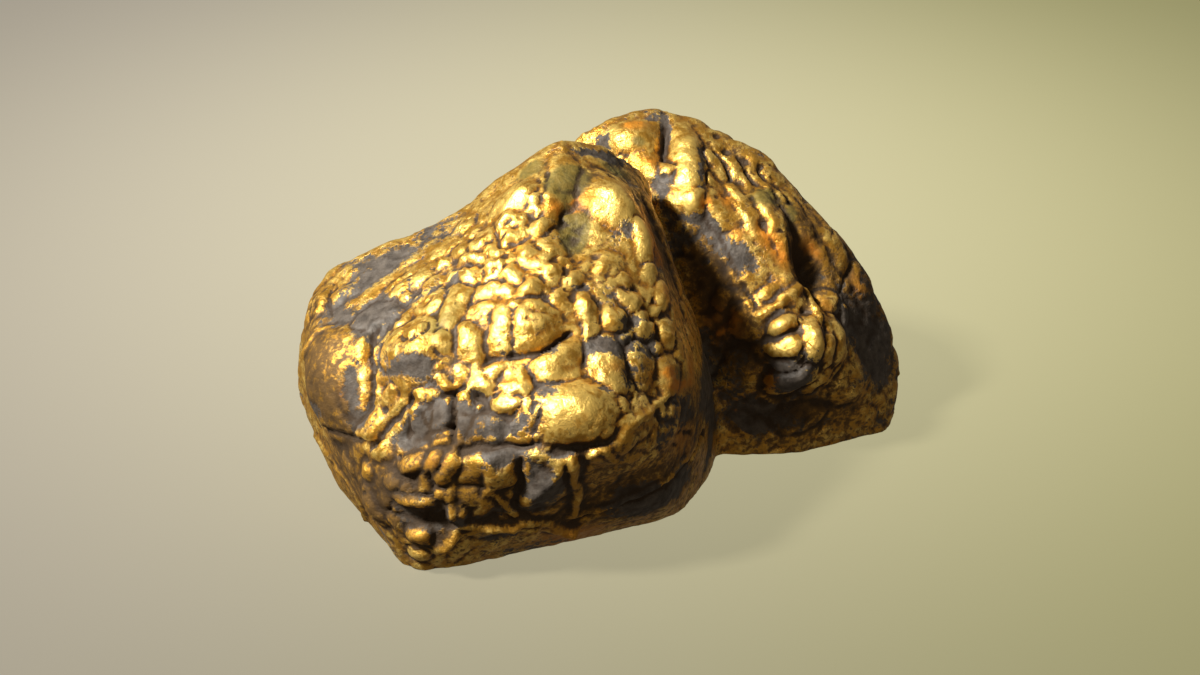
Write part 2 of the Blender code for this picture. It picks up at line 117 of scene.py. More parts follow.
# Swells: u, v, half length, half width, turn in degrees, height. They fade out softly and may be hollows.
SWELLS = [
    (-53, -8, 12, 9, 95, 2.4),      # oval bulge at the left
    (-3.5, -14.5, 11, 7, 5, 3.4),   # bulge over the brow
    (6, 21, 13, 5, 100, 2.2),       # rib down the right edge
    (-6, 22, 11, 4.5, 95, -1.6),    # trough beside it
    (-15, 27, 7, 5, 40, 1.4),       # shoulder under the crest
    (1.2, 26, 6.5, 5.5, 100, 2.2),  # boss right of the peak
    (-37, -3, 9, 8, 10, 1.1),       # dome
    (-40, -22, 8, 5, 30, -1.8),     # slope under the dome
    (-38.5, -28.5, 6, 2.6, -5, -1.3), (-35, -36.4, 6, 3, 10, -1.5),     # facets at the near corner
    (6, -29, 9, 5, 15, -1.0),       # smooth facet under the brow at the right
    (6, 40, 7, 5, 0, 1.4),          # knob on the back crest
    (12.8, 38, 2.6, 7, 0, -1.8),    # gully beside it
    (41.5, -2, 8.5, 8, 95, 4.4),    # knob cluster on the back lobe
    (42, 14.5, 9, 4.5, 108, -4.4),  # hollow over the cluster
    (18, 31, 10, 5, 84, 2.4),       # ridge beside the gully
    (32, 23, 9, 6, 115, 2.0),       # fold down its face
]

# The saddle that hollows out the crest between the left corner and the peak.
SADDLE = {
    "place": (-32, 24, 57), "normal": (-0.45, 0.1, 0.89), "along": (0.89, 0.05, 0.45),
    "length": 16, "width": 22, "height": -3.6,
}

# Cobbles: u, v, half length, half width, turn in degrees, height. Each is a dome with a crease round it.
COBBLES = [
    # left of the front face
    (-53, -9.5, 9.5, 8.5, 95, 1.9), (-55.5, 7, 3.4, 2.6, 100, 0.9), (-51, 8.5, 3.2, 2.2, 20, 0.8),
    (-45, 3.5, 5.5, 4.0, 60, 0.9), (-46, -19, 4.5, 3.0, 30, 0.8),
    # dome and the long cobbles beside it
    (-38.4, -2.6, 6.6, 6.2, 10, 1.3), (-29, 6, 5.2, 2.6, 82, 1.3), (-26.5, -1, 3.4, 2.1, 95, 1.1),
    (-31.6, -1.6, 3.0, 2.1, 100, 1.2), (-36, 0.2, 3.0, 2.4, 30, 1.7),
    (-20, 0.7, 4.8, 2.3, 88, 1.1), (-13, 1.5, 5.6, 4.3, 80, 1.5), (-38, 11, 6.0, 3.0, 25, 1.0),
    # small cobbles above the dome
    (-28.5, 17, 2.4, 1.9, 20, 0.7), (-25.5, 12, 2.6, 2.0, 70, 0.8), (-20.5, 14.5, 2.3, 1.8, 20, 0.7),
    (-21, 8.8, 2.6, 1.9, 60, 0.8), (-17, 12.5, 2.2, 1.8, 90, 0.7), (-14.5, 10.3, 2.3, 1.7, 40, 0.7),
    (-13, 16.5, 2.7, 2.0, 70, 0.8), (-9.5, 18.5, 2.6, 2.0, 20, 0.8), (-10, 12.8, 2.5, 2.0, 80, 0.8),
    (-5.5, 11.5, 2.6, 2.0, 40, 0.8), (-23, 20.5, 3.6, 2.0, 40, 0.7),
    # under the crest
    (-17, 27.5, 4.6, 3.2, 55, 1.2), (-8.5, 30, 7.5, 3.6, 82, 1.0), (2, 27, 6.6, 5.2, 100, 1.3),
    (7.2, 19, 4.8, 2.3, 82, 1.1), (1.5, 14.5, 3.4, 2.4, 10, 0.8),
    # right of the middle
    (-2.4, 4.0, 4.4, 1.8, 95, 1.0), (2.4, 3.6, 2.6, 2.4, 0, 1.0), (5.8, 8, 2.6, 2.1, 30, 0.9),
    (8.6, 2.5, 3.2, 2.4, 95, 1.1), (13, 1, 3.1, 2.1, 80, 0.9), (12, 8, 3.0, 2.0, 60, 0.8),
    (-7.8, -5.6, 4.4, 3.8, 30, 1.6), (0.8, -5.4, 5.0, 3.8, 105, 1.7), (8, -6, 4.4, 3.0, 60, 1.0),
    # over the brow
    (-5.6, -15, 7.2, 5.6, 12, 1.8), (-17, -9.6, 3.3, 2.8, 20, 1.0), (-19, -14, 3.2, 2.4, 10, 1.0),
    (-22.6, -18, 3.2, 2.6, 0, 0.9), (-14.5, -16, 3.4, 3.0, 60, 1.1), (-37, -15.5, 3.2, 2.8, 80, 0.9),
    (-31.5, -15.5, 2.6, 4.2, 0, 0.9), (-27, -14, 2.4, 3.6, 0, 0.9), (-24, -9, 2.8, 2.2, 40, 0.8),
    (6, -17.5, 5.5, 3.2, 35, 1.0), (14, -8, 4.2, 3.0, 70, 0.8), (14, -17, 5.0, 3.4, 60, 0.8),
    # under the brow
    (-22.4, -26.4, 5.4, 3.6, -8, 1.5), (-11.2, -28, 6.6, 5.4, 90, 1.8), (-24.8, -32.6, 4.4, 2.8, 105, 0.8),
    (-44.3, -22.8, 3.0, 1.7, 10, 1.0), (-38.5, -24.6, 3.4, 1.8, 10, 1.2), (-33.5, -25, 2.6, 1.8, 40, 1.1),
    (-30.4, -26, 3.4, 1.7, 62, 1.3), (-37.6, -32.3, 4.2, 1.3, 0, 1.0), (-46.5, -26.8, 1.9, 1.7, 0, 0.9),
    (-46.5, -30.6, 1.9, 1.7, 0, 0.9), (-45.6, -33.8, 4.4, 2.2, 122, 1.2), (-36.4, -39.5, 2.6, 2.4, 0, 1.3),
    (-28.2, -34.6, 2.6, 2.0, 60, 1.1), (-36.4, -43.4, 2.0, 1.6, 0, 0.9),
    # crest and face of the back lobe
    (6.6, 40, 5.6, 4.0, 10, 0.9), (17, 36, 7.6, 3.2, 84, 1.5), (19, 26.5, 3.0, 2.4, 120, 0.9),
    (23, 34, 4.6, 1.6, -58, 0.7), (27.6, 33, 4.8, 1.6, -58, 0.6), (32, 31, 4.4, 1.6, -55, 0.6),
    (24, 25, 4.4, 2.6, -50, 0.9), (34, 24, 6.4, 2.6, -60, 0.9), (28.6, 15, 6.0, 3.4, -60, 0.9),
    (39.4, 24, 6.0, 2.2, -62, 0.9), (47, 18, 5.0, 2.4, -60, 0.8), (53, 9, 5.4, 2.8, -65, 0.8),
    (40.9, -0.2, 2.0, 3.4, 8, 1.7), (36.6, 2.4, 2.8, 1.4, 16, 1.4), (36.4, -1.8, 3.2, 1.5, 10, 1.3),
    (37.4, -7, 4.4, 3.6, 60, 1.7), (46.8, 0, 2.2, 4.4, 4, 1.4), (46, 7.2, 2.4, 2.6, 0, 1.1),
    (44.2, -2, 1.2, 1.7, 0, 0.9), (50, -9, 4.6, 4.0, 20, 1.0),
    (28, -8, 4.5, 4.0, 50, 0.9), (30, 3, 4.0, 3.4, 20, 0.8), (40, -16, 5.0, 3.0, 10, 0.8),
]

# Ridges and cracks: half width, height (a crack is negative), then their course on the chart.
LINES = [
    (0.9, -1.5, [(-28, -22.5), (-22, -22.2), (-16, -22), (-13, -21), (-7, -22.4), (1, -20.5), (3, -18.5)]),
    (0.8, -1.3, [(-46, -22), (-43, -18.5), (-38.4, -12.5)]),
    (0.7, -1.0, [(-23, -4.6), (-16, -4.2), (-12, -3), (-6.4, 0.6)]),
    (1.0, -1.5, [(-45.6, 0), (-45.2, -6), (-45.8, -14)]),
    (0.7, -1.1, [(-16.6, -25), (-16.6, -32.5)]),
    (0.6, -0.8, [(-56, -17.6), (-45, -21.5)]),
    (0.6, -0.8, [(-11, 35), (-11, 28.5)]),
    (0.7, 0.9, [(-58, -5.5), (-55.6, -0.2), (-53, 1.2)]),
    (0.6, 0.9, [(-2.6, 7.5), (-3.4, -0.5)]),
    (0.7, 0.9, [(4, -19.5), (10, -14.5), (13, -11.5)]),
    (0.6, 0.9, [(-3, -23.5), (0, -22), (2.5, -24.5)]),
    (0.9, 1.3, [(-6, -23.5), (-4.6, -34.5)]),
    (2.0, 1.2, [(-8, -24.8), (-14.4, -31.2)]), (1.6, 0.8, [(-22.4, -24.4), (-21.2, -29.4)]),
    (0.8, 1.0, [(-29, -28.5), (-30, -35.5)]), (0.7, 0.9, [(-22.4, -30), (-17.4, -34.3)]),
    (0.7, 0.8, [(-6, -35.4), (1, -33.8), (8, -31), (13, -28.6), (17, -24)]),
    (0.8, -1.1, [(-5, -36.5), (8, -32.5), (13.6, -30), (18, -24.5), (21, -18.5)]),
    (1.1, 1.4, [(-33, -42.5), (-28, -37), (-18, -37), (-6, -38)]),
    (0.7, 0.8, [(-60, -11), (-57, -18), (-51, -27.5), (-46, -37)]),
    (0.8, -0.8, [(13.2, 45), (13.2, 36.5)]),
    (0.6, -0.7, [(21.6, 38.6), (25.6, 31.4)]), (0.6, -0.6, [(26.4, 37), (30.4, 30)]),
    (0.6, -0.6, [(31.6, 34), (35.2, 27.6)]), (0.7, -0.8, [(30, 27.6), (34.6, 18)]),
    (1.0, 1.3, [(32, 4), (36, 6.2), (39.8, 10)]), (0.7, 1.2, [(41.6, 10), (42.8, 3)]),
    (0.6, -1.2, [(43.8, 9.5), (43.8, 0.5)]), (0.6, -0.9, [(32.6, 0.2), (39.4, 0.8)]),
]
PITS = [(-24.4, -12, 1.5, -1.4), (32, 22, 1.6, -1.2), (40.2, 5, 1.4, -1.3), (-1, 15.9, 1.3, -0.7)]

# Swells and cobbles strewn over the sides and the back: spacing, half widths and heights in millimetres,
# and how many times longer than wide they are.
LOBE_CENTRES = [(-22, 10, 26), (24, 46, 26)]
STREWN_SWELLS = {
    "tries": 300, "spacing": 17.0, "widths": (6.0, 9.0), "stretch": (1.0, 1.8), "heights": (-2.6, 2.4),
}
STREWN_COBBLES = {
    "tries": 900, "spacing": 6.4, "widths": (2.8, 4.8), "stretch": (1.0, 1.7), "heights": (0.5, 1.4),
}
LOWEST_STREWN = 1.5 * MM
SEED = 5

# How strewn relief fades towards the rim that the station point sees, where the form already has its outline.
RIM_FADE = 0.5
RIM_SHARE = 0.25

# Profiles, in millimetres unless a share of a cobble's size is meant.
DOME_FALL = 1.1                 # how soon a dome falls off; its rim has a third of its height
CREASE = (0.75, 0.16)           # share of the lower dome that a crease takes, its width in height difference
MOAT = (0.28, 1.25, 0.17)       # a moat's depth as a share of its dome, its place and width, 1 on the rim
MOAT_END = 0.45                 # a dome of this height fills its neighbour's moat
CRUMPLE = [(110.0, 1.3), (330.0, 0.45)]     # waves per metre and reach of the noise that crumples the relief
CUT_TOLERANCE = 0.0001 * MM

# Finer cobbles, listed one by one: u, v, half length, half width, turn in degrees, height.
SMALL_COBBLES = [
    # wrinkled field above the dome
    (-31.5, 14.5, 2.2, 1.6, 30, 0.6), (-33.5, 10.5, 2.4, 1.7, 60, 0.6), (-24, 16.2, 1.9, 1.5, 0, 0.55),
    (-18.5, 17.5, 1.9, 1.6, 60, 0.6), (-16, 20.5, 2.2, 1.6, 30, 0.6), (-11.5, 22.5, 2.4, 1.8, 60, 0.7),
    (-7.5, 15.2, 1.9, 1.5, 90, 0.6), (-2.5, 14.6, 1.8, 1.4, 40, 0.5), (-18.5, 9.2, 1.8, 1.4, 90, 0.55),
    (-16.2, 6.5, 2.2, 1.5, 30, 0.6), (-8, 7.6, 2.4, 1.6, 110, 0.7), (-22.6, 5.6, 1.8, 1.5, 0, 0.5),
    (-33, 6.6, 2.4, 1.6, 60, 0.6), (-40, 7.2, 2.6, 1.7, 30, 0.6), (-28, 22, 2.4, 1.5, 30, 0.55),
    (-19, 23.5, 2.2, 1.6, 40, 0.6), (-13.2, 27, 1.9, 2.4, 0, 0.6), (-6, 24.5, 2.2, 1.6, 20, 0.5),
    # lower side of the dome
    (-40, -5.4, 2.2, 1.6, 20, 0.5), (-36, -5.8, 2.4, 1.6, 10, 0.6), (-42, -0.6, 2.0, 1.6, 60, 0.5),
    (-32.4, -6.2, 2.0, 1.5, 40, 0.6), (-39.6, 2.4, 2.4, 1.5, 30, 0.5),
    # right of the middle
    (10.6, 5.4, 1.9, 1.5, 60, 0.6), (5.2, -0.6, 1.9, 1.4, 20, 0.6), (11, -1.8, 1.8, 1.5, 0, 0.6),
    (4.8, 11.8, 2.0, 1.5, 60, 0.55), (9.2, 12.6, 1.7, 2.2, 0, 0.55), (15.6, -3, 1.6, 2.2, 0, 0.5),
    (5.6, -10, 1.8, 1.4, 70, 0.5), (2.8, -13.2, 2.2, 1.5, 130, 0.6), (-3.6, -9.4, 1.8, 1.4, 20, 0.5),
    # middle left
    (-27.2, -6.6, 2.0, 1.5, 100, 0.55), (-21.4, -6.4, 1.8, 1.4, 40, 0.5), (-30.6, -9, 2.2, 1.4, 130, 0.6),
    (-27.4, -9.6, 1.8, 1.2, 130, 0.5), (-33.8, -11.4, 2.2, 1.4, 20, 0.5), (-41.5, -10.5, 2.6, 1.7, 60, 0.5),
    (-43.5, -3.5, 1.6, 2.2, 0, 0.5), (-57.5, -2, 1.4, 2.6, 10, 0.5), (-58, 3.6, 1.4, 2.0, 0, 0.5),
    # small square blocks of rock
    (-36.2, -11.6, 2.2, 1.9, 0, 0.5), (-36.2, -16.0, 2.2, 1.9, 0, 0.7), (-31.4, -15.0, 1.9, 2.6, 0, 0.6),
    (-31.9, -20.0, 2.2, 1.5, 0, 0.6), (-27.2, -16.4, 1.9, 3.6, 0, 0.6),
    # foot of the front face
    (-42, -28.2, 2.2, 1.6, 40, 0.6), (-35.5, -29, 2.4, 1.6, 100, 0.6), (-31.6, -31.4, 1.6, 2.2, 20, 0.6),
    (-41.4, -36.4, 2.2, 1.5, 120, 0.6), (-23, -39.2, 2.8, 1.3, 14, 0.5), (-14, -37.5, 2.6, 1.3, 8, 0.5),
    (-50.2, -25, 1.4, 2.2, 30, 0.5),
    # on the bulge over the brow
    (-8.4, -12.6, 2.6, 2.0, 50, 0.7), (-2.8, -15.6, 3.0, 2.2, 60, 0.8), (-8.6, -17.2, 2.8, 2.0, 20, 0.7),
    (-4.4, -11.6, 2.2, 1.8, 30, 0.6), (0.6, -19, 2.4, 1.6, 30, 0.6), (-12.6, -20, 2.6, 1.6, 10, 0.6),
    # back lobe
    (4.4, 36.6, 1.8, 1.4, 40, 0.5), (10.6, 42.6, 1.6, 1.3, 0, 0.5), (13, 34.5, 1.9, 1.5, 110, 0.7),
    (19, 25.5, 1.8, 1.4, 60, 0.6), (21, 31.5, 2.6, 1.3, -60, 0.5), (27.4, 28.5, 3.0, 1.2, -60, 0.6),
    (36, 28, 3.0, 1.3, -60, 0.6), (36, 19.5, 3.4, 1.3, -70, 0.7), (38.6, 2.9, 1.3, 1.0, 12, 0.6),
    (38.8, -2.8, 1.6, 1.2, 20, 0.7), (48.6, 5, 1.4, 2.8, 10, 0.6), (45.4, 3.4, 1.4, 1.1, 20, 0.5),
    (43.4, 14.5, 2.0, 1.4, 60, 0.5), (33.4, 8.6, 2.2, 1.5, 40, 0.6), (24.5, 7.5, 2.2, 1.6, 60, 0.6),
    (37.8, -7.6, 4.6, 3.2, 30, 3.0), (42.6, -8.0, 3.6, 1.6, 55, 1.6),
    # down the right edge of the front lobe
    (9.4, 25.8, 2.2, 1.4, -70, 0.8), (11.4, 20.8, 2.4, 1.5, -70, 0.9), (13.4, 15.6, 2.2, 1.5, -65, 0.9),
    (15.2, 10.6, 2.4, 1.5, -70, 0.8), (16.4, 5.6, 2.0, 1.5, -70, 0.8), (17.4, 0.6, 2.2, 1.5, -75, 0.7),
]

# Finer cracks and ridges: half width, height, course.
FINE_LINES = [
    (0.45, -1.4, [(-38.8, -13.9), (-36.2, -13.5), (-33.4, -13.8)]), (0.45, -1.4, [(-33.5, -12.0), (-33.8, -18.2)]),
    (0.5, -1.7, [(-29.4, -11.2), (-29.1, -15.5), (-29.4, -21.2)]), (0.6, -1.6, [(-31.2, -11.6), (-27.2, -9.7)]),
    (0.45, -1.4, [(-38.2, -18.5), (-34.0, -18.2), (-29.5, -18.0)]), (0.7, -1.6, [(-38.9, -12.2), (-39.2, -18.8)]),
    (0.35, -0.6, [(-25.6, -13.5), (-25.4, -20)]),
    (0.4, -0.6, [(-13.6, -12.5), (-13.8, -26)]), (0.35, 0.45, [(-13.0, -12), (-13.2, -24)]),
    (0.35, -0.5, [(-23, -23), (-24.2, -31)]), (0.4, -0.6, [(-7.4, -24.5), (-6.4, -31)]),
    (0.35, -0.5, [(-41, -23), (-40.5, -30), (-43, -36)]), (0.4, -0.55, [(-35, -23), (-33, -30), (-36, -37)]),
    (1.0, 1.5, [(-33, -41.4), (-28.6, -38.8), (-24, -37.8), (-19.8, -37), (-16.4, -35.8), (-10.5, -36.5), (-5.5, -37.7)]),
    (0.35, 0.5, [(3, -12), (3.8, -15.8), (6.4, -11.4)]), (0.35, 0.45, [(0.5, -11), (5.5, -16.5)]),
    (0.35, -0.5, [(-3.6, -1), (-3.8, -8)]), (0.35, -0.5, [(-7.6, 16), (-7.2, 9.5)]),
    (0.35, -0.5, [(2.4, 13.5), (1.6, 8)]), (0.35, 0.45, [(-21.5, 21.5), (-18.4, 14.5), (-19.5, 12.5)]),
    (0.35, 0.45, [(-8.6, 19.5), (-12, 15)]), (0.35, -0.5, [(6.5, 7), (11, 3.5), (11.4, 0)]),
    (0.4, -0.5, [(-53.6, 10), (-53.6, 1.8)]), (0.35, -0.45, [(-50, 5), (-45, 6), (-41, 10)]),
    (0.35, 0.45, [(-41, 10.6), (-36, 13.4), (-31, 15.2)]), (0.35, -0.4, [(-58, -13.5), (-56.4, -17.5)]),
    (0.35, 0.4, [(-47.6, -37), (-43, -40.6)]), (0.35, -0.45, [(9, -20), (15, -22)]),
    (0.35, -0.5, [(9, -12), (17, -14)]), (0.35, -0.45, [(12, -20), (18.5, -19)]),
    (0.35, -0.4, [(24.4, 38), (27.8, 32)]), (0.35, -0.4, [(29, 35.6), (32.6, 29.4)]),
    (0.35, -0.4, [(34, 32.6), (37.6, 26.4)]), (0.4, 0.4, [(18.6, 36.5), (20.2, 28.5)]),
    (0.35, -0.5, [(24, 20), (28, 11), (31, 6)]), (0.35, 0.5, [(35, 26.5), (37.5, 15.5)]),
    (0.35, -0.6, [(32.6, -3.9), (40.2, -3.9)]), (0.3, -0.5, [(33.4, 5), (38.4, 5.6)]),
    (0.45, 0.7, [(36.8, -11), (42, -7), (44.6, -3.6)]), (0.35, 0.5, [(45, -9), (48.5, -3)]),
    (0.35, -0.5, [(46, 22), (43.5, 14)]), (0.35, -0.5, [(50, 14), (47, 6)]),
]
SMALL_PITS = [
    (1.6, 31.3, 1.1, -1.0), (-14.6, 3.4, 0.7, -0.5), (-43, -14.5, 0.9, -0.6), (6, -22.5, 0.8, -0.5),
    (-37.8, 1.6, 0.7, -0.45), (23, 27.6, 0.8, -0.5),
    (-52.6, 2.6, 0.7, -0.5), (-20.8, -11.8, 0.8, -0.6), (13.4, 15, 0.7, -0.5),
    (25.2, 37, 1.2, -1.0), (28.3, 35.2, 1.1, -0.9), (32.1, 33.9, 1.3, -1.0), (23.4, 40.4, 1.0, -0.8),
]

# Folds: a crumpled skin of small rounded wrinkles with sharp valleys. Its height in millimetres is BASE_FOLD all
# over, more or less by FOLD_DRIFT from place to place, and stronger or weaker in the ovals below:
# u, v, half length, half width, turn, added height.
BASE_FOLD = 0.24
FOLD_DRIFT = (60.0, 0.20)        # waves per metre, height
FOLD_WAVES = (175.0, 430.0)      # waves per metre of the broad and the fine folds
FOLD_SHARES = (0.55, 0.45)
FOLDED = [
    (-20, 16, 15, 9, 35, 0.52), (-8, 9, 9, 6, 0, 0.35), (-14, 24, 9, 5, 40, 0.40), (-30, 12, 8, 5, 30, 0.30),
    (-18, -14, 7, 6, 0, 0.40), (11, 6, 6, 8, 0, 0.25), (-40, 2, 8, 6, 20, 0.12), (-56, 6, 4, 8, 0, 0.25),
    (28, 33, 10, 5, -25, 0.20), (39, 2, 7, 7, 0, 0.25), (8, -25, 10, 6, 20, 0.15),
    (-53, -9, 10, 13, 0, -0.18), (-6, 30, 8, 5, 80, -0.14), (2, 27, 6, 6, 0, -0.10), (-45, 4, 7, 5, 50, -0.10), (-41, 16, 8, 3, 25, -0.10),
]
GRAIN = [(470.0, 0.15), (1000.0, 0.06)]      # waves per metre, height in mm
EDGE_CALM = 0.35                 # how much of the folds and grain is left where the lump turns away
EDGE_WIDTH = 0.45                # how far from there they are full again, as a cosine

# Cobbles are a little square, and each leans its own way.
SQUARENESS = 2.7                 # 2 is an ellipse, more is squarer
LEAN = 0.38                      # how much higher one end is than the middle
LEAN_TURN = 2.4                  # radians from one cobble's lean to the next one's

# Streaks: fine ribs that run one way, as a direction on the chart in degrees and the ovals where they show.
STREAK_WAVES = 420.0             # waves per metre across the ribs
STREAK_STRETCH = 0.22            # how much slower they change lengthwise
STREAK_GOLD = 0.9                # how strongly gold and rock part along them
STREAKS = [
    (-57, [(28, 32, 11, 6, -30, 0.45), (30, 20, 10, 7, -50, 0.40), (46, 18, 7, 9, 0, 0.35), (17, 34, 3, 6, 0, 0.25)]),
    (30, [(-38, 12, 11, 6, 30, 0.40), (-26, 18, 8, 4, 35, 0.30), (-20, 25, 8, 4, 40, 0.25)]),
    (75, [(18, -18, 5, 10, -20, 0.12)]),
]
PLATE = 0.14                                # how far gold stands proud of the rock, in mm

# ---- Where gold, rock and stains lie: u, v, half length, half width, turn, strength ---------------------------
# Strength above 0 is gold and below 0 bare rock.
PLATING = [
    # bare rock on the front lobe
    (-41.6, 16, 6.5, 2.8, 25, -1.0), (-46, 3, 6.5, 4.6, 60, -1.1), (-35, 8, 8, 2.2, 28, -0.9),
    (-48.6, -9.5, 2.4, 5.5, 5, -1.3), (-48, -17, 3.0, 3.0, 10, -0.8), (-37.6, -20.5, 4.4, 3.0, 30, -1.0), (-32, -16, 8.5, 5.0, 5, -1.5),
    (-10.4, -11.4, 2.6, 1.6, 0, -0.9), (0, -11.4, 2.6, 1.5, 0, -0.8), (0, -1.6, 3.2, 1.6, 10, -1.0),
    (-10, -3, 2.6, 1.5, 60, -0.9), (6, 3.4, 4.0, 1.0, 0, -0.7), (10.5, 0.5, 1.0, 3.0, 0, -0.6),
    (-20.6, -23.6, 5.4, 2.2, 0, -1.0), (-7, -22.6, 6.0, 1.6, 0, -0.9), (-12, -28.5, 3.6, 4.0, 0, -1.0),
    (-36, -35, 6.0, 3.0, 20, -0.8), (21.5, -9.5, 1.8, 11, 0, -1.2), (-3.5, 10, 4.0, 1.0, 0, -0.7),
    (0.8, 36, 7.5, 1.1, -16, -1.2), (10, -15.5, 3.0, 1.4, 40, -0.8), (-18, -18.5, 5.0, 2.2, 10, -0.9),
    (-19, -3.2, 4.0, 1.4, 0, -0.5), (-24, -36, 10, 2.0, 12, -0.6), (10, -33, 9.0, 2.2, 25, -0.9),
    (16, -26, 4.0, 5.0, 30, -0.7), (7.5, -31.6, 9.0, 1.4, 20, -1.2), (-45, 12.5, 4.0, 1.6, 28, -0.6), (-51.6, 3.6, 1.6, 3.6, 0, -0.6),
    (-56, -4, 1.6, 2.4, 20, -0.6), (-55, -14, 2.4, 1.6, 0, -0.7), (-52, -1.4, 2.0, 1.2, 10, -0.6),
    (-26, -2.6, 1.2, 3.0, 0, -0.5), (-29.5, 11.4, 4.0, 1.2, 50, -0.5), (4.2, 21.5, 1.2, 2.6, 30, -0.7),
    # gold on the front lobe
    (-52, -7, 6.5, 6.0, 90, 0.7), (-57, 6, 3.0, 6.0, 0, 0.5), (-37, 1, 7.0, 4.0, 10, 0.9), (-37, -6, 7.0, 2.4, 5, -0.6),
    (-22, 12, 12, 9, 30, 0.5), (-16, 26, 8, 6, 40, 0.9), (2, 26, 6.5, 6.0, 0, 0.9), (7, 18, 2.6, 6, 10, 0.9),
    (-13, 1.5, 5.5, 5, 0, 0.7), (-17, -10.5, 4.4, 4.6, 0, 0.8), (-5.6, -15.4, 6.4, 4.4, 10, 1.1),
    (0.8, -6.4, 3.8, 3.2, 0, 0.6), (-7.6, -6.4, 3.6, 2.8, 0, 0.7), (-37, -24, 8.0, 2.4, 10, 0.9),
    (-58, -12, 2.0, 7, 20, 0.8), (-52, -24, 2.2, 8, 35, 0.8), (6, -18, 5, 2.4, 35, 0.9),
    (8, -26, 8, 4, 20, 0.6), (-44, -30, 3.4, 6.4, 30, 0.5), (-36.5, -40.5, 4.0, 3.0, 0, 0.9),
    (-31, -40.2, 1.4, 3.4, -50, 1.4), (-23, -37.4, 5.4, 1.0, 8, 1.5), (-13, -36.2, 6.4, 1.0, -4, 1.5),
    (-27, -33, 3.0, 6.0, 50, 0.6), (-2, -29, 4.0, 4.0, 0, 0.5), (-46, 8, 5.0, 1.6, 28, 0.6),
    # bare rock on the back lobe
    (19.6, 32.5, 1.4, 5.2, 0, -1.1), (21.8, 23, 3.0, 1.7, -20, -1.1), (26.4, 15.4, 6.0, 2.8, -58, -1.2),
    (1.4, 39, 2.2, 1.6, 40, -0.8), (13.2, 41, 1.5, 5.0, 0, -0.9), (38, -6.4, 3.4, 2.8, 20, -1.3),
    (47, 3.6, 2.4, 4.8, 10, -0.7), (55, -2, 5.0, 13, 10, -1.1), (34, -16, 12, 4, 5, -0.9), (28, -8, 5, 8, 0, -0.4),
    (25, 33, 3.0, 3.0, -20, -0.5), (42.8, 9, 1.2, 5.0, 0, -0.8), (49, 15, 2.4, 7, 20, -0.4),
    # gold on the back lobe
    (6.4, 39.4, 4.4, 3.4, 0, 0.8), (16.2, 36, 2.4, 6.6, 0, 1.0), (16.6, 28, 3.2, 3.4, 0, 1.1),
    (13, 34.4, 2.4, 2.0, 0, 0.9), (27, 25, 5.4, 2.4, 10, 0.8), (33, 28, 5.0, 4.0, 40, 0.5),
    (35.2, 20, 1.9, 6.5, 0, 1.0), (31, 9, 3.0, 4.0, 0, 0.5), (38.6, 1.6, 4.8, 2.8, 15, 1.3),
    (44, 19, 2.4, 4.6, 10, 0.7), (50, 13, 2.0, 3.6, 20, 0.6), (45.6, 7.6, 1.0, 3.6, 0, 0.8),
    (37.4, -7, 3.6, 2.6, 60, -1.0), (36.4, 0.3, 3.0, 0.6, 8, -0.9), (36, 5, 2.6, 0.6, 12, -0.9),
]
RUST = [
    (-9.6, 26, 2.2, 1.5, 0, 1.2), (-4, 26.6, 3.0, 1.9, 20, 1.5), (8, 24.4, 1.6, 2.4, 0, 1.2),
    (9.0, 20.8, 2.0, 2.8, 0, 1.8), (10.8, 15.8, 2.0, 2.8, 0, 1.7), (2.4, -6.6, 1.8, 1.5, 0, 0.7),
    (13.6, -7, 2.4, 1.4, 10, 1.4), (15.4, -9.6, 3.6, 1.4, 10, 1.5), (18, -6, 1.2, 3.6, 10, 0.7),
    (16, -20, 4.0, 6.0, 30, 0.5), (12, 9, 1.4, 2.4, 30, 0.6), (-49, -11, 1.8, 2.6, 0, 0.4),
    (6.8, 41.4, 2.8, 1.5, 0, 1.3), (9.6, 35, 3.0, 1.6, 20, 1.0), (21, 26.6, 1.7, 1.4, 0, 1.3),
    (25, 27, 2.6, 1.4, -50, 1.3), (32.6, 20, 4.4, 1.6, -60, 1.3), (36, 17, 4.4, 1.4, -65, 1.2),
    (43, 18, 4.0, 1.2, -55, 0.9), (27.6, 20.6, 1.6, 3.0, 20, 0.6),
    (25, 2.6, 5.0, 5.0, 0, 0.9), (34, -7.6, 2.4, 4.0, 0, 0.8), (51, 10, 2.0, 4.0, 10, 0.6),
    (29, -14, 4.0, 4.0, 0, 0.5), (45, 6, 1.4, 2.2, 0, 0.7), (-33, -25, 4.0, 1.6, 10, 0.4),
]
OLIVE = [
    (-14, 33.6, 5.0, 2.2, 40, 1.0), (-7, 31, 5.5, 4.0, 30, 1.7), (-5, 22, 3.6, 5.8, 0, 1.9),
    (3, 33.4, 6.0, 1.8, -24, 0.9), (15, -7.4, 1.4, 2.2, 0, 0.9), (8, 38.4, 2.6, 1.7, 0, 0.9),
    (33, 27.4, 5.6, 3.4, 10, 1.1), (20, 34, 2.2, 5.0, 0, 0.5), (38, 24, 2.0, 5.0, -10, 0.8),
    (2.4, 16, 2.6, 3.0, 0, 0.6), (-54, 4, 2.6, 2.0, 0, 0.4), (-24, 6, 3.0, 2.0, 0, 0.3),
]
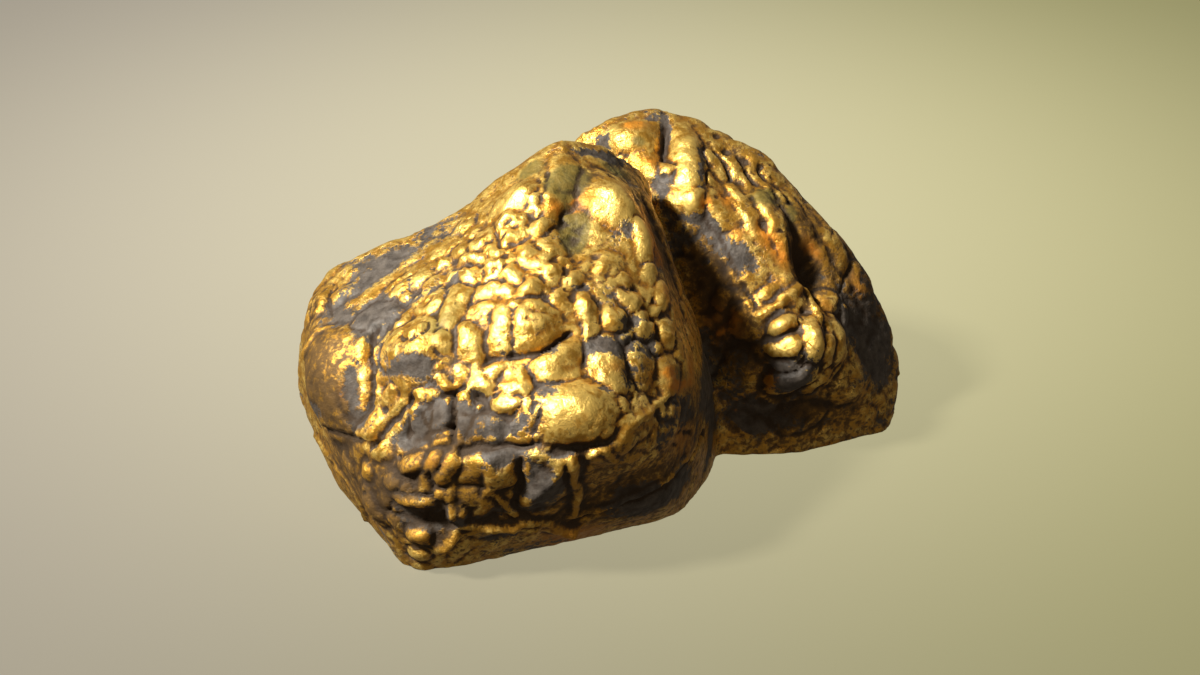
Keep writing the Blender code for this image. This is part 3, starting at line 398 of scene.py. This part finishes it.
# Where gold is tarnished brown, partly as real tarnishing and partly as painted shade; below 0 it is kept clean and
# bright as painted light.
TARNISH_AND_SHADE = [
    (-54, -10, 7, 10, 5, 1.6), (-50, -20, 6, 5, 10, 1.1), (-53, -2, 6, 5, 0, 0.6), (-49, -14, 4, 6, 0, 0.6), (-57, 5, 4, 8, 0, 0.8), (-57, -22, 4, 10, 30, 1.0),
    (-40, -28, 12, 5, 20, 1.5), (-51, -26, 5, 8, 30, 1.0), (8, 4, 6, 6, 0, -0.7), (-44, -34, 6, 8, 30, 1.4), (-32, -36, 10, 6, 30, 1.2), (-12, -28, 18, 6, 8, 0.8),
    (6, -32, 14, 5, 20, 1.2), (-30, -18, 10, 6, 0, 1.6), (18, -18, 6, 12, -10, 1.0), (-4, 31, 8, 4, 20, 1.0),
    (-5, 21, 3, 6, 10, 0.6), (34, 27, 10, 5, -40, 0.5), (-10, -36, 14, 3, 8, 0.7), (52, 6, 6, 14, 15, 1.2),
    # painted shade here: the shadow of the front lobe on the back lobe, the shaded strip down the right flank of the
    # front lobe and the hollow over the knob cluster
    (42.5, 13.5, 5, 7, 20, 1.8), (28, 36, 7, 2, -38, 1.0), (40, 21, 6, 8, 0, 1.0), (27, 15, 5, 4, -60, 0.6), (31, -4, 6, 6, 0, 0.5), (26, 0, 8, 10, 0, 1.0), (22, 10, 6, 16, 22, 1.5), (11.5, 19, 2.0, 14, 20, 1.6), (38, -15, 17, 7, 5, 1.5),
    # from here on, strengths below 0 give clean bright gold as painted light on the most brightly lit lumps
    (-17, 27, 5, 5, 0, -0.9), (2, 25, 5, 5, 0, -0.9), (7, 18, 2.5, 7, 12, -0.9), (3, 25, 6, 6, 0, -0.6), (-17, 12, 11, 9, 30, -0.9),
    (-34, 4, 7, 5, 0, -0.5), (-36, -6, 8, 3, 5, 1.0), (-4, -13, 8, 6, 0, -1.0), (17, 32, 4, 9, 0, -1.0), (5, 40, 5, 4, 0, -0.9),
    (38, 0, 5, 6, 0, -0.3), (0, 0, 10, 8, 0, -0.5), (-16, -10, 5, 5, 0, -0.5),
]
GOLD_ALL_OVER = 0.30
GOLD_BLOTCHES = (95.0, 0.75)     # waves per metre, strength
SPOT_WAVES = 60.0
STAIN_DEPTH = 1.3                # how deep a patch reaches into the lump, as a share of its size
STEEPEST = 0.3                   # a patch is reckoned no steeper than this, as a cosine
CAVITY_BLUR_STEPS = 10
CAVITY_BARE = 0.9                # how much a hollow 1 mm deep takes off the gold


def hull(name, landmarks):
    """The convex hull of a list of landmark points."""
    mesh = bpy.data.meshes.new(name)
    shape = bmesh.new()
    for point in landmarks:
        shape.verts.new(Vector(point) * MM)
    bmesh.ops.convex_hull(shape, input=shape.verts)
    inner = [v for v in shape.verts if not v.link_faces]
    bmesh.ops.delete(shape, geom=inner, context="VERTS")
    shape.to_mesh(mesh)
    shape.free()
    piece = bpy.data.objects.new(name, mesh)
    bpy.context.scene.collection.objects.link(piece)
    return piece


def soft_form():
    """The two lobes joined into one closed, softened form with no relief yet."""
    front = hull("front_lobe", FRONT_LOBE)
    back = hull("back_lobe", BACK_LOBE)
    union = front.modifiers.new("join", "BOOLEAN")
    union.operation = "UNION"
    union.object = back
    remesh = front.modifiers.new("remesh", "REMESH")
    remesh.mode = "VOXEL"
    remesh.voxel_size = VOXEL
    soften = front.modifiers.new("soften", "SMOOTH")
    soften.factor = 0.5
    soften.iterations = SOFTENING_STEPS
    refine = front.modifiers.new("refine", "SUBSURF")
    refine.levels = FINE_STEPS
    refine.render_levels = FINE_STEPS
    bpy.context.view_layer.update()
    graph = bpy.context.evaluated_depsgraph_get()
    mesh = bpy.data.meshes.new_from_object(front.evaluated_get(graph))
    for lobe in (front, back):
        bpy.data.objects.remove(lobe)
    return mesh


class Form:
    """The soft form as arrays and a search tree, and the ways of placing relief on it."""

    def __init__(self, mesh):
        shape = bmesh.new()
        shape.from_mesh(mesh)
        self.tree = BVHTree.FromBMesh(shape)
        shape.free()
        count = len(mesh.vertices)
        points = np.empty(count * 3)
        mesh.vertices.foreach_get("co", points)
        normals = np.empty(count * 3)
        mesh.vertex_normals.foreach_get("vector", normals)
        edges = np.empty(len(mesh.edges) * 2, dtype=np.int64)
        mesh.edges.foreach_get("vertices", edges)
        self.points = points.reshape(-1, 3)
        self.normals = normals.reshape(-1, 3)
        self.edges = edges.reshape(-1, 2)

    def under(self, u, v):
        """Where a chart point lands on the form, and the form's outward normal there; None if it misses."""
        target = CHART_ORIGIN + (CHART_RIGHT * u + CHART_UP * v) * MM
        place, normal, _, _ = self.tree.ray_cast(STATION, (target - STATION).normalized())
        return (place, normal) if place else None

    def ovals(self, rows):
        """Chart rows (u, v, half length, half width, turn, height) as ovals on the form."""
        found = []
        for u, v, length, width, turn, height in rows:
            hit = self.under(u, v)
            if hit:
                angle = math.radians(turn)
                along = CHART_RIGHT * math.cos(angle) + CHART_UP * math.sin(angle)
                found.append(oval(*hit, along, length * MM, width * MM, height))
        return found

    def stains(self, rows):
        """Chart rows (u, v, half length, half width, turn, strength) as patches outlined from the station point."""
        found = []
        for u, v, length, width, turn, strength in rows:
            hit = self.under(u, v)
            if hit:
                place, normal = hit
                towards = (STATION - place).normalized()
                angle = math.radians(turn)
                along = CHART_RIGHT * math.cos(angle) + CHART_UP * math.sin(angle)
                depth = STAIN_DEPTH * max(length, width) / max(STEEPEST, normal.dot(towards))
                sides = (along / length, towards.cross(along) / width, towards / depth)
                axes = np.array([side / MM for side in sides])
                found.append({"place": np.array(place), "axes": axes, "reach": depth * MM, "height": strength})
        return found

    def faces_station(self, place, normal):
        """True where the form looks at the station point with nothing in between."""
        towards = (STATION - place).normalized()
        if normal.dot(towards) < 0.12:
            return False
        return self.tree.ray_cast(place + normal * 0.5 * MM, towards)[0] is None

    def edge_calm(self):
        """The share of the fine relief that each point keeps: least along the outline seen from the station."""
        towards = np.array(STATION) - self.points
        facing = np.abs(np.einsum("ij,ij->i", self.normals, towards) / np.linalg.norm(towards, axis=1))
        return EDGE_CALM + (1.0 - EDGE_CALM) * np.clip(facing / EDGE_WIDTH, 0.0, 1.0)

    def strewn(self, rng, tries, spacing, widths, stretch, heights):
        """Ovals strewn over the sides and the back, where the chart doesn't reach."""
        places = []
        found = []
        for centre in LOBE_CENTRES:
            for _ in range(tries):
                direction = Vector([rng.gauss(0, 1) for _ in range(3)]).normalized()
                along = Vector([rng.gauss(0, 1) for _ in range(3)])
                width = rng.uniform(*widths) * MM
                length = width * rng.uniform(*stretch)
                height = rng.uniform(*heights)
                place, normal, _, _ = self.tree.ray_cast(Vector(centre) * MM, direction)
                if not place or place.z < LOWEST_STREWN or self.faces_station(place, normal):
                    continue
                if all((place - other).length > spacing * MM for other in places):
                    away = -normal.dot((STATION - place).normalized())
                    height *= min(1.0, max(RIM_SHARE, away / RIM_FADE))
                    places.append(place)
                    found.append(oval(place, normal, along, length, width, height))
        return found

    def course(self, chart_course):
        """A chart line carried onto the form in steps of about 1.5 mm."""
        places = []
        for (u0, v0), (u1, v1) in zip(chart_course[:-1], chart_course[1:], strict=True):
            steps = max(1, round(math.hypot(u1 - u0, v1 - v0) / 1.5))
            for k in range(steps + 1):
                hit = self.under(u0 + (u1 - u0) * k / steps, v0 + (v1 - v0) * k / steps)
                if hit and (not places or (hit[0] - places[-1]).length > 0.2 * MM):
                    places.append(hit[0])
        return np.array(places)

    def blurred(self, values, steps):
        """Values averaged with their neighbours along the mesh's edges."""
        first, second = self.edges.T
        size = len(values)
        ways = np.bincount(first, minlength=size) + np.bincount(second, minlength=size)
        for _ in range(steps):
            total = np.bincount(first, values[second], size) + np.bincount(second, values[first], size)
            values = 0.5 * values + 0.5 * total / ways
        return values


def oval(place, normal, along, length, width, height):
    """An oval patch with its long axis laid into the surface as near to `along` as the normal allows."""
    first = (along - normal * along.dot(normal)).normalized()
    second = normal.cross(first)
    depth = 1.3 * max(length, width)
    axes = np.array([first / length, second / width, normal / depth])
    return {"place": np.array(place), "axes": axes, "reach": depth, "height": height}


def crumpled(points):
    """The points pushed about by smooth noise, so that what is laid over them comes out irregular."""
    moved = points.copy()
    for waves, reach in CRUMPLE:
        moved += reach * MM * np.array([noise.noise_vector(Vector(point) * waves)[:] for point in points])
    return moved


def near(points, patch, times):
    """The points within some times an oval's size, and where they lie along its axes, 1 on its rim."""
    offset = points - patch["place"]
    index = np.flatnonzero(np.abs(offset).max(axis=1) < times * patch["reach"])
    return index, offset[index] @ patch["axes"].T


def swell_field(points, swells):
    """The sum of soft bumps."""
    field = np.zeros(len(points))
    for patch in swells:
        index, local = near(points, patch, 2.2)
        field[index] += patch["height"] * np.exp(-1.4 * (local ** 2).sum(axis=1))
    return field


def cobble_field(points, cobbles):
    """The highest dome over each point, a crease where two domes meet and a moat round each."""
    top = np.zeros(len(points))
    second = np.zeros(len(points))
    moat = np.zeros(len(points))
    crease_share, crease_width = CREASE
    moat_share, moat_ring, moat_width = MOAT
    for number, patch in enumerate(cobbles):
        index, local = near(points, patch, 1.7)
        distance = (np.abs(local) ** SQUARENESS).sum(axis=1) ** (1.0 / SQUARENESS)
        lean = math.cos(number * LEAN_TURN) * local[:, 0] + math.sin(number * LEAN_TURN) * local[:, 1]
        dome = patch["height"] * np.exp(-DOME_FALL * distance ** 3) * np.clip(1.0 + LEAN * lean, 0.4, 1.6)
        second[index] = np.maximum(second[index], np.minimum(top[index], dome))
        top[index] = np.maximum(top[index], dome)
        ring = patch["height"] * np.exp(-((distance - moat_ring) / moat_width) ** 2)
        moat[index] = np.maximum(moat[index], ring)
    crease = second * np.exp(-((top - second) / crease_width) ** 2)
    moat *= np.clip(1.0 - top / MOAT_END, 0.0, 1.0)
    return top - crease_share * crease - moat_share * moat


def line_field(points, half_width, height, course):
    """A ridge or crack with a round profile along a course of points on the form."""
    best = np.full(len(points), np.inf)
    middle = course.mean(axis=0)
    reach = np.abs(course - middle).max() + 5 * half_width
    index = np.flatnonzero(np.abs(points - middle).max(axis=1) < reach)
    part = points[index]
    nearest = np.full(len(index), np.inf)
    for a, b in zip(course[:-1], course[1:], strict=True):
        span = b - a
        t = np.clip(((part - a) @ span) / (span @ span), 0.0, 1.0)
        nearest = np.minimum(nearest, np.linalg.norm(part - a - t[:, None] * span, axis=1))
    best[index] = nearest
    return height * np.exp(-(best / half_width) ** 2)


def noise_field(points, waves, seed):
    """Smooth noise between about -1 and 1 with the given number of waves per metre."""
    shift = Vector((13.1 * seed, 7.7 * seed, 3.3 * seed))
    return np.array([noise.noise(Vector(p) * waves + shift) for p in points])


def folds(form, points):
    """The crumpled skin: noise folded over at zero, which gives rounded wrinkles with sharp valleys."""
    waves, drift = FOLD_DRIFT
    height = BASE_FOLD + drift * noise_field(form.points, waves, 41) + swell_field(form.points, form.ovals(FOLDED))
    broad, fine = [np.minimum(2.4 * np.abs(noise_field(points, waves, seed)), 1.0)
                   for seed, waves in zip((42, 43), FOLD_WAVES, strict=True)]
    broad_share, fine_share = FOLD_SHARES
    skin = broad_share * broad + fine_share * (1.0 - fine) * (0.4 + 0.6 * broad)
    return np.clip(height, 0.04, 1.0) * (2.0 * skin - 0.8)


def streaks(form, points):
    """Ribs along each set of streaks, in millimetres."""
    total = np.zeros(len(points))
    for number, (turn, rows) in enumerate(STREAKS):
        angle = math.radians(turn)
        along = np.array(CHART_RIGHT * math.cos(angle) + CHART_UP * math.sin(angle))
        squeezed = points - (1.0 - STREAK_STRETCH) * np.outer(points @ along, along)
        strength = swell_field(form.points, form.ovals(rows))
        total += strength * noise_field(squeezed, STREAK_WAVES, 51 + number)
    return total


def relief(form):
    """The height over each point of the form, how deep in a hollow it lies, and its share of the streaks."""
    rng = random.Random(SEED)
    noise.seed_set(SEED)
    swells = form.ovals(SWELLS) + form.strewn(rng, **STREWN_SWELLS)
    normal = Vector(SADDLE["normal"]).normalized()
    sizes = (SADDLE["length"] * MM, SADDLE["width"] * MM, SADDLE["height"])
    swells.append(oval(Vector(SADDLE["place"]) * MM, normal, Vector(SADDLE["along"]), *sizes))
    cobbles = form.ovals(COBBLES) + form.strewn(rng, **STREWN_COBBLES) + form.ovals(SMALL_COBBLES)
    pit_rows = [(u, v, size, size, 0, depth) for u, v, size, depth in PITS + SMALL_PITS]
    points = crumpled(form.points)
    height = swell_field(form.points, swells) + swell_field(form.points, form.ovals(pit_rows))
    ribs = streaks(form, points)
    fine = folds(form, points)
    for number, (waves, rise) in enumerate(GRAIN):
        fine += rise * noise_field(points, waves, number + 1)
    height += cobble_field(points, cobbles) + ribs + fine * form.edge_calm()
    for half_width, rise, chart_course in LINES + FINE_LINES:
        course = form.course(chart_course)
        if len(course) > 1:
            height += line_field(points, half_width * MM, rise, course)
    cavity = form.blurred(height, CAVITY_BLUR_STEPS) - height
    return height, cavity, ribs


def finish_masks(form, cavity, ribs):
    """How much gold, rust and olive lies at each point, each about 0 to 1 with 0.5 at a patch's edge."""
    waves, strength = GOLD_BLOTCHES
    blotch = noise_field(form.points, waves, 21) + 0.5 * noise_field(form.points, 2.3 * waves, 22)
    gold = GOLD_ALL_OVER + strength * blotch + swell_field(form.points, form.stains(PLATING)) - CAVITY_BARE * cavity
    gold += STREAK_GOLD * ribs
    spots = np.clip(noise_field(form.points, SPOT_WAVES, 31) - 0.42, 0.0, 1.0) * 1.2
    rust = swell_field(form.points, form.stains(RUST)) + spots
    spots = np.clip(noise_field(form.points, SPOT_WAVES, 32) - 0.45, 0.0, 1.0) * 2.0
    olive = swell_field(form.points, form.stains(OLIVE)) + spots
    return np.clip(0.5 + 0.5 * gold, 0, 1), np.clip(rust, 0, 1), np.clip(olive, 0, 1)


def tarnish_and_shade_mask(form):
    """How brown the gold is at each point, about 0.3 where nothing is said: tarnishing, painted shade in shadowed
    places and, below 0.3, clean gold as painted light.
    """
    return np.clip(0.3 + 0.4 * swell_field(form.points, form.stains(TARNISH_AND_SHADE)), 0, 1)


def store(mesh, name, columns):
    """Keeps up to four values per vertex as a colour attribute."""
    attribute = mesh.attributes.new(name, "FLOAT_COLOR", "POINT")
    values = np.ones((len(mesh.vertices), 4), dtype=np.float32)
    for k, column in enumerate(columns):
        values[:, k] = column
    attribute.data.foreach_set("color", values.ravel())


def cut_base(mesh):
    """Cuts the lump off flat on z = 0 and closes the cut."""
    shape = bmesh.new()
    shape.from_mesh(mesh)
    everything = shape.verts[:] + shape.edges[:] + shape.faces[:]
    bmesh.ops.bisect_plane(
        shape, geom=everything, dist=CUT_TOLERANCE, plane_co=(0, 0, 0), plane_no=(0, 0, 1), clear_inner=True
    )
    rim = [edge for edge in shape.edges if edge.is_boundary]
    bmesh.ops.holes_fill(shape, edges=rim, sides=0)
    bmesh.ops.recalc_face_normals(shape, faces=shape.faces)
    shape.to_mesh(mesh)
    shape.free()


def build_lump():
    """The finely modelled lump, with its values per vertex and its material."""
    mesh = soft_form()
    form = Form(mesh)
    height, cavity, ribs = relief(form)
    masks = finish_masks(form, cavity, ribs)
    height += PLATE * np.clip((masks[0] - 0.42) / 0.16, 0.0, 1.0)
    store(mesh, "plating", masks)
    # the second value is tarnishing together with painted shade and painted light
    store(mesh, "hollows", [np.clip(0.5 + cavity, 0, 1), tarnish_and_shade_mask(form)])
    moved = form.points + form.normals * (height * MM)[:, None]
    mesh.vertices.foreach_set("co", moved.ravel())
    mesh.update()
    cut_base(mesh)
    print("TRIS", sum(len(p.vertices) - 2 for p in mesh.polygons), len(mesh.vertices))
    mesh.shade_smooth()
    mesh.materials.append(ore_material())
    lump = bpy.data.objects.new("gold_ore_lump", mesh)
    bpy.context.scene.collection.objects.link(lump)
    return lump


class Nodes:
    """Short ways of adding and joining the nodes of a material or world."""

    def __init__(self, tree):
        self.tree = tree

    def add(self, kind, inputs=None, **settings):
        node = self.tree.nodes.new(kind)
        for name, value in settings.items():
            setattr(node, name, value)
        for name, value in (inputs or {}).items():
            socket = node.inputs[name]
            if isinstance(value, bpy.types.NodeSocket):
                self.tree.links.new(value, socket)
            else:
                socket.default_value = value
        return node

    def noise(self, vector, scale, detail=4.0, rough=0.55, distortion=0.0):
        inputs = {"Vector": vector, "Scale": scale, "Detail": detail, "Roughness": rough, "Distortion": distortion}
        return self.add("ShaderNodeTexNoise", inputs).outputs["Fac"]

    def math(self, operation, a, b=0.0, c=0.0):
        return self.add("ShaderNodeMath", {0: a, 1: b, 2: c}, operation=operation).outputs[0]

    def ramp(self, value, low, high, to_low=0.0, to_high=1.0):
        """A smooth step of a value between two limits."""
        inputs = {"Value": value, "From Min": low, "From Max": high, "To Min": to_low, "To Max": to_high}
        return self.add("ShaderNodeMapRange", inputs, interpolation_type="SMOOTHSTEP").outputs[0]

    def blend(self, share, a, b):
        node = self.add("ShaderNodeMix", data_type="RGBA")
        for socket, value in ((node.inputs[0], share), (node.inputs[6], a), (node.inputs[7], b)):
            if isinstance(value, bpy.types.NodeSocket):
                self.tree.links.new(value, socket)
            else:
                socket.default_value = value
        return node.outputs[2]


BRIGHT_GOLD = (0.95, 0.65, 0.165, 1.0)
DEEP_GOLD = (0.60, 0.32, 0.048, 1.0)
# painted shade: darker, more orange gold laid into the creases between lumps
SHADED_CREASE_GOLD = (0.52, 0.24, 0.034, 1.0)
# brown tarnished gold, also laid as painted shade in hollows and shadowed places
BROWN_GOLD = (0.165, 0.088, 0.020, 1.0)
# painted shade: near-black colour laid into the deepest creases
CREASE_SHADE = (0.030, 0.016, 0.007, 1.0)
# a dark film, partly tarnishing and partly painted shade over hollows and shadowed places
FILM_AND_SHADE = (0.042, 0.024, 0.009, 1.0)
LIGHT_ROCK = (0.104, 0.087, 0.072, 1.0)
DARK_ROCK = (0.036, 0.028, 0.022, 1.0)
RUST_COLOUR = (0.54, 0.19, 0.010, 1.0)
WARM_GOLD = (0.62, 0.27, 0.035, 1.0)
OLIVE_COLOUR = (0.125, 0.100, 0.020, 1.0)


def ore_material():
    """Native gold plated over dark rock, with iron rust, olive and brown tarnishing, and painted shade in the hollows
    and shadowed places.
    """
    material = bpy.data.materials.new("gold_on_rock")
    material.use_nodes = True
    tree = material.node_tree
    tree.nodes.clear()
    n = Nodes(tree)
    place = n.add("ShaderNodeTexCoord").outputs["Object"]
    plating = n.add("ShaderNodeAttribute", attribute_name="plating").outputs["Color"]
    parts = n.add("ShaderNodeSeparateColor", {"Color": plating}).outputs
    hollows = n.add("ShaderNodeAttribute", attribute_name="hollows").outputs["Color"]
    hollows = n.add("ShaderNodeSeparateColor", {"Color": hollows}).outputs
    hollow = hollows["Red"]
    # green: tarnishing, painted shade in shadowed places, and clean gold as painted light where it is low
    tarnish_and_shade = hollows["Green"]

    coarse = n.noise(place, 170.0, 6.0, 0.62, 0.6)
    mottle = n.noise(place, 480.0, 5.0, 0.65, 0.8)
    fine = n.noise(place, 1000.0, 4.0, 0.6)
    grain = n.noise(place, 2400.0, 3.0, 0.55)

    ragged = n.math("MULTIPLY_ADD", coarse, 0.70, -0.35)
    speck = n.math("MULTIPLY_ADD", fine, 0.85, -0.425)
    gold = n.math("ADD", n.math("ADD", parts["Red"], ragged), speck)
    gold_share = n.ramp(gold, 0.40, 0.56)
    rust_share = n.ramp(n.math("ADD", parts["Green"], n.math("MULTIPLY_ADD", mottle, 2.2, -1.2)), 0.40, 1.05)
    olive_share = n.ramp(n.math("ADD", parts["Blue"], n.math("MULTIPLY_ADD", coarse, 0.6, -0.3)), 0.36, 0.85)
    # painted shade in the creases, strongest where the hollow value is highest
    crease_shade = n.ramp(n.math("MULTIPLY_ADD", fine, 0.14, n.math("MULTIPLY_ADD", tarnish_and_shade, 0.20, hollow)), 0.67, 0.88)
    # brown share: tarnishing and mottling, with painted shade added in the hollows
    brown = n.math("MULTIPLY_ADD", tarnish_and_shade, 1.25, n.math("MULTIPLY_ADD", mottle, 2.2, -1.18))
    brown = n.math("ADD", brown, n.math("MULTIPLY_ADD", hollow, 2.0, -1.0))
    brown_and_shade_share = n.ramp(n.math("ADD", brown, n.math("MULTIPLY_ADD", fine, 2.8, -1.4)), 0.15, 0.90)
    # dark film: painted shade in hollows and in the painted-shade patches, together with tarnishing
    film_and_shade_share = n.ramp(n.math("MULTIPLY_ADD", hollow, 0.8, tarnish_and_shade), 0.85, 1.45, 0.0, 0.60)
    film_and_shade_share = n.math("MULTIPLY", film_and_shade_share, n.math("SUBTRACT", 1.0, rust_share))
    # share of the darker crease gold, painted shade that grows towards the hollows
    crest = n.ramp(n.math("MULTIPLY_ADD", fine, -0.10, hollow), 0.41, 0.60)

    warmth = n.math("MULTIPLY_ADD", mottle, 1.3, n.math("MULTIPLY_ADD", n.noise(place, 260.0, 5.0, 0.6), 1.5, -1.25))
    # gold is deeper where the tarnishing and painted-shade value is high
    warmth = n.math("MULTIPLY_ADD", tarnish_and_shade, -0.5, warmth)
    gold_colour = n.blend(n.ramp(warmth, -0.18, 0.16), DEEP_GOLD, BRIGHT_GOLD)
    gold_colour = n.blend(crest, gold_colour, SHADED_CREASE_GOLD)
    gold_colour = n.blend(brown_and_shade_share, gold_colour, BROWN_GOLD)
    gold_colour = n.blend(n.ramp(parts["Green"], 0.05, 0.70, 0.0, 0.75), gold_colour, WARM_GOLD)
    rock_colour = n.blend(n.ramp(n.noise(place, 420.0, 6.0, 0.65), 0.30, 0.70), DARK_ROCK, LIGHT_ROCK)
    colour = n.blend(gold_share, rock_colour, gold_colour)
    colour = n.blend(n.math("MULTIPLY", olive_share, 0.88), colour, OLIVE_COLOUR)
    colour = n.blend(n.math("MULTIPLY", rust_share, 0.90), colour, RUST_COLOUR)
    colour = n.blend(n.math("MULTIPLY", crease_shade, 0.88), colour, CREASE_SHADE)
    colour = n.blend(film_and_shade_share, colour, FILM_AND_SHADE)

    # stains, tarnishing and the painted crease shade all make the surface duller and less metallic
    stain_and_shade = n.math("MAXIMUM", n.math("MULTIPLY", rust_share, 0.60), n.math("MULTIPLY", olive_share, 0.75))
    stain_and_shade = n.math("MAXIMUM", stain_and_shade, n.math("MULTIPLY", brown_and_shade_share, 0.55))
    stain_and_shade = n.math("MAXIMUM", stain_and_shade, n.math("MULTIPLY", crease_shade, 0.7))
    metal = n.math("MULTIPLY", n.math("MULTIPLY", gold_share, 0.80), n.math("SUBTRACT", 1.0, stain_and_shade))
    gold_rough = n.math("MULTIPLY_ADD", mottle, 0.40, 0.185)
    rough = n.math("ADD", n.math("MULTIPLY", gold_share, gold_rough),
                   n.math("MULTIPLY", n.math("SUBTRACT", 1.0, gold_share), 0.55))
    rough = n.math("ADD", rough, n.math("MULTIPLY", stain_and_shade, 0.22))
    rough = n.math("ADD", rough, n.ramp(tarnish_and_shade, 0.35, 0.9, 0.0, 0.24))

    bumps = n.math("MULTIPLY_ADD", gold_share, 0.35, fine)
    bumps = n.math("MULTIPLY_ADD", mottle, 0.9, bumps)
    bumps = n.math("MULTIPLY_ADD", grain, 0.28, bumps)
    bump = n.add("ShaderNodeBump", {"Height": bumps, "Strength": 0.62, "Distance": 0.00034})
    shader = n.add("ShaderNodeBsdfPrincipled", {
        "Base Color": colour, "Metallic": metal, "Roughness": rough, "Normal": bump.outputs["Normal"],
    })
    shader.inputs["Specular IOR Level"].default_value = 0.45
    n.add("ShaderNodeOutputMaterial", {"Surface": shader.outputs["BSDF"]})
    return material


# ---- Stage: floor, lights, world and camera -------------------------------------------------------------------
FLOOR_SIZE = 12.0
FLOOR_LEFT = (0.68, 0.62, 0.47, 1.0), (0.36, 0.325, 0.265, 1.0)     # its middle and its edge
FLOOR_RIGHT = (0.66, 0.615, 0.34, 1.0), (0.30, 0.285, 0.13, 1.0)
FLOOR_MIDDLE = (-0.005, -0.16, 0.0)
FLOOR_SPREAD = (4.9, 4.4, 1.0)   # how fast it darkens across and away
FLOOR_TURN = 0.16                # how far from its middle it takes the colour of one side
FLOOR_GLOW = 0.84                # the share of the floor's brightness that no shadow takes away
FLOOR_DULL = 0.10                # how much of its colour it shows as a lit surface
SKY_COLOUR = (0.44, 0.41, 0.33, 1.0)
AMBIENT_COLOUR = (1.0, 0.86, 0.66, 1.0)
AMBIENT_STRENGTH = 0.12
LENS = 85.0


def stage():
    """A pale floor that meets a plain pale surrounding; it glows, so most of its brightness is painted light, brightest
    in its middle and darker towards its edges, and shadows on it stay faint.
    """
    bpy.ops.mesh.primitive_plane_add(size=FLOOR_SIZE, location=(0, 0, -0.0002))
    floor = bpy.context.object
    floor.name = "floor"
    material = bpy.data.materials.new("pale_floor")
    material.use_nodes = True
    n = Nodes(material.node_tree)
    place = n.add("ShaderNodeTexCoord").outputs["Object"]
    across = n.add("ShaderNodeSeparateXYZ", {"Vector": place}).outputs["X"]
    place = n.add("ShaderNodeVectorMath", {0: place, 1: FLOOR_MIDDLE}, operation="ADD").outputs[0]
    place = n.add("ShaderNodeVectorMath", {0: place, 1: FLOOR_SPREAD}, operation="MULTIPLY").outputs[0]
    away = n.add("ShaderNodeVectorMath", {0: place}, operation="LENGTH").outputs["Value"]
    side = n.ramp(n.math("DIVIDE", across, n.math("MAXIMUM", away, 1.0)), -FLOOR_TURN, FLOOR_TURN)
    middle, edge = [n.blend(side, *pair) for pair in zip(FLOOR_LEFT, FLOOR_RIGHT, strict=True)]
    colour = n.blend(n.ramp(away, 0.15, 1.35), middle, edge)
    dull = n.add("ShaderNodeVectorMath", {0: colour, 1: (FLOOR_DULL,) * 3}, operation="MULTIPLY").outputs[0]
    shader = material.node_tree.nodes["Principled BSDF"]
    material.node_tree.links.new(dull, shader.inputs["Base Color"])
    # emission: painted light that makes up most of the floor's brightness
    material.node_tree.links.new(colour, shader.inputs["Emission Color"])
    shader.inputs["Emission Strength"].default_value = FLOOR_GLOW
    shader.inputs["Roughness"].default_value = 0.9
    shader.inputs["Specular IOR Level"].default_value = 0.1
    floor.data.materials.append(material)
    floor.visible_glossy = False
    floor.visible_diffuse = False


def world():
    """Pale to look at, dimmer and cooler as a light."""
    surroundings = bpy.data.worlds.new("surroundings")
    bpy.context.scene.world = surroundings
    surroundings.use_nodes = True
    n = Nodes(surroundings.node_tree)
    surroundings.node_tree.nodes.clear()
    seen = n.add("ShaderNodeBackground", {"Color": SKY_COLOUR, "Strength": 1.0})
    lit = n.add("ShaderNodeBackground", {"Color": AMBIENT_COLOUR, "Strength": AMBIENT_STRENGTH})
    direct = n.add("ShaderNodeLightPath").outputs["Is Camera Ray"]
    mix = n.add("ShaderNodeMixShader", {0: direct, 1: lit.outputs[0], 2: seen.outputs[0]})
    n.add("ShaderNodeOutputWorld", {"Surface": mix.outputs[0]})


def area_light(name, place, size, power, colour):
    """A square soft light aimed at the lump."""
    light = bpy.data.lights.new(name, "AREA")
    light.shape = "SQUARE"
    light.size = size
    light.energy = power
    light.color = colour
    lamp = bpy.data.objects.new(name, light)
    bpy.context.scene.collection.objects.link(lamp)
    lamp.location = place
    lamp.rotation_euler = (Vector(place) - CHART_ORIGIN).to_track_quat("Z", "Y").to_euler()


def camera():
    """Looks from the station point square on to the face chart."""
    lens = bpy.data.cameras.new("camera")
    lens.lens = LENS
    lens.clip_start = 0.01
    lens.clip_end = 100.0
    viewer = bpy.data.objects.new("camera", lens)
    bpy.context.scene.collection.objects.link(viewer)
    viewer.location = STATION
    viewer.rotation_euler = (math.radians(90.0) - CHART_LEAN, 0.0, 0.0)
    bpy.context.scene.camera = viewer


camera()
stage()
world()
area_light("key", (-0.66, -0.37, 0.86), 0.16, 33.0, (1.0, 0.95, 0.86))
area_light("fill", (0.45, -0.90, 0.12), 0.5, 0.7, (1.0, 0.78, 0.50))
area_light("back", (0.75, 0.95, 0.45), 0.8, 0.4, (0.90, 0.93, 1.0))
bpy.context.scene.view_settings.view_transform = "Standard"

lump = build_lump()
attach(lump, "root")
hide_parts(NODE)
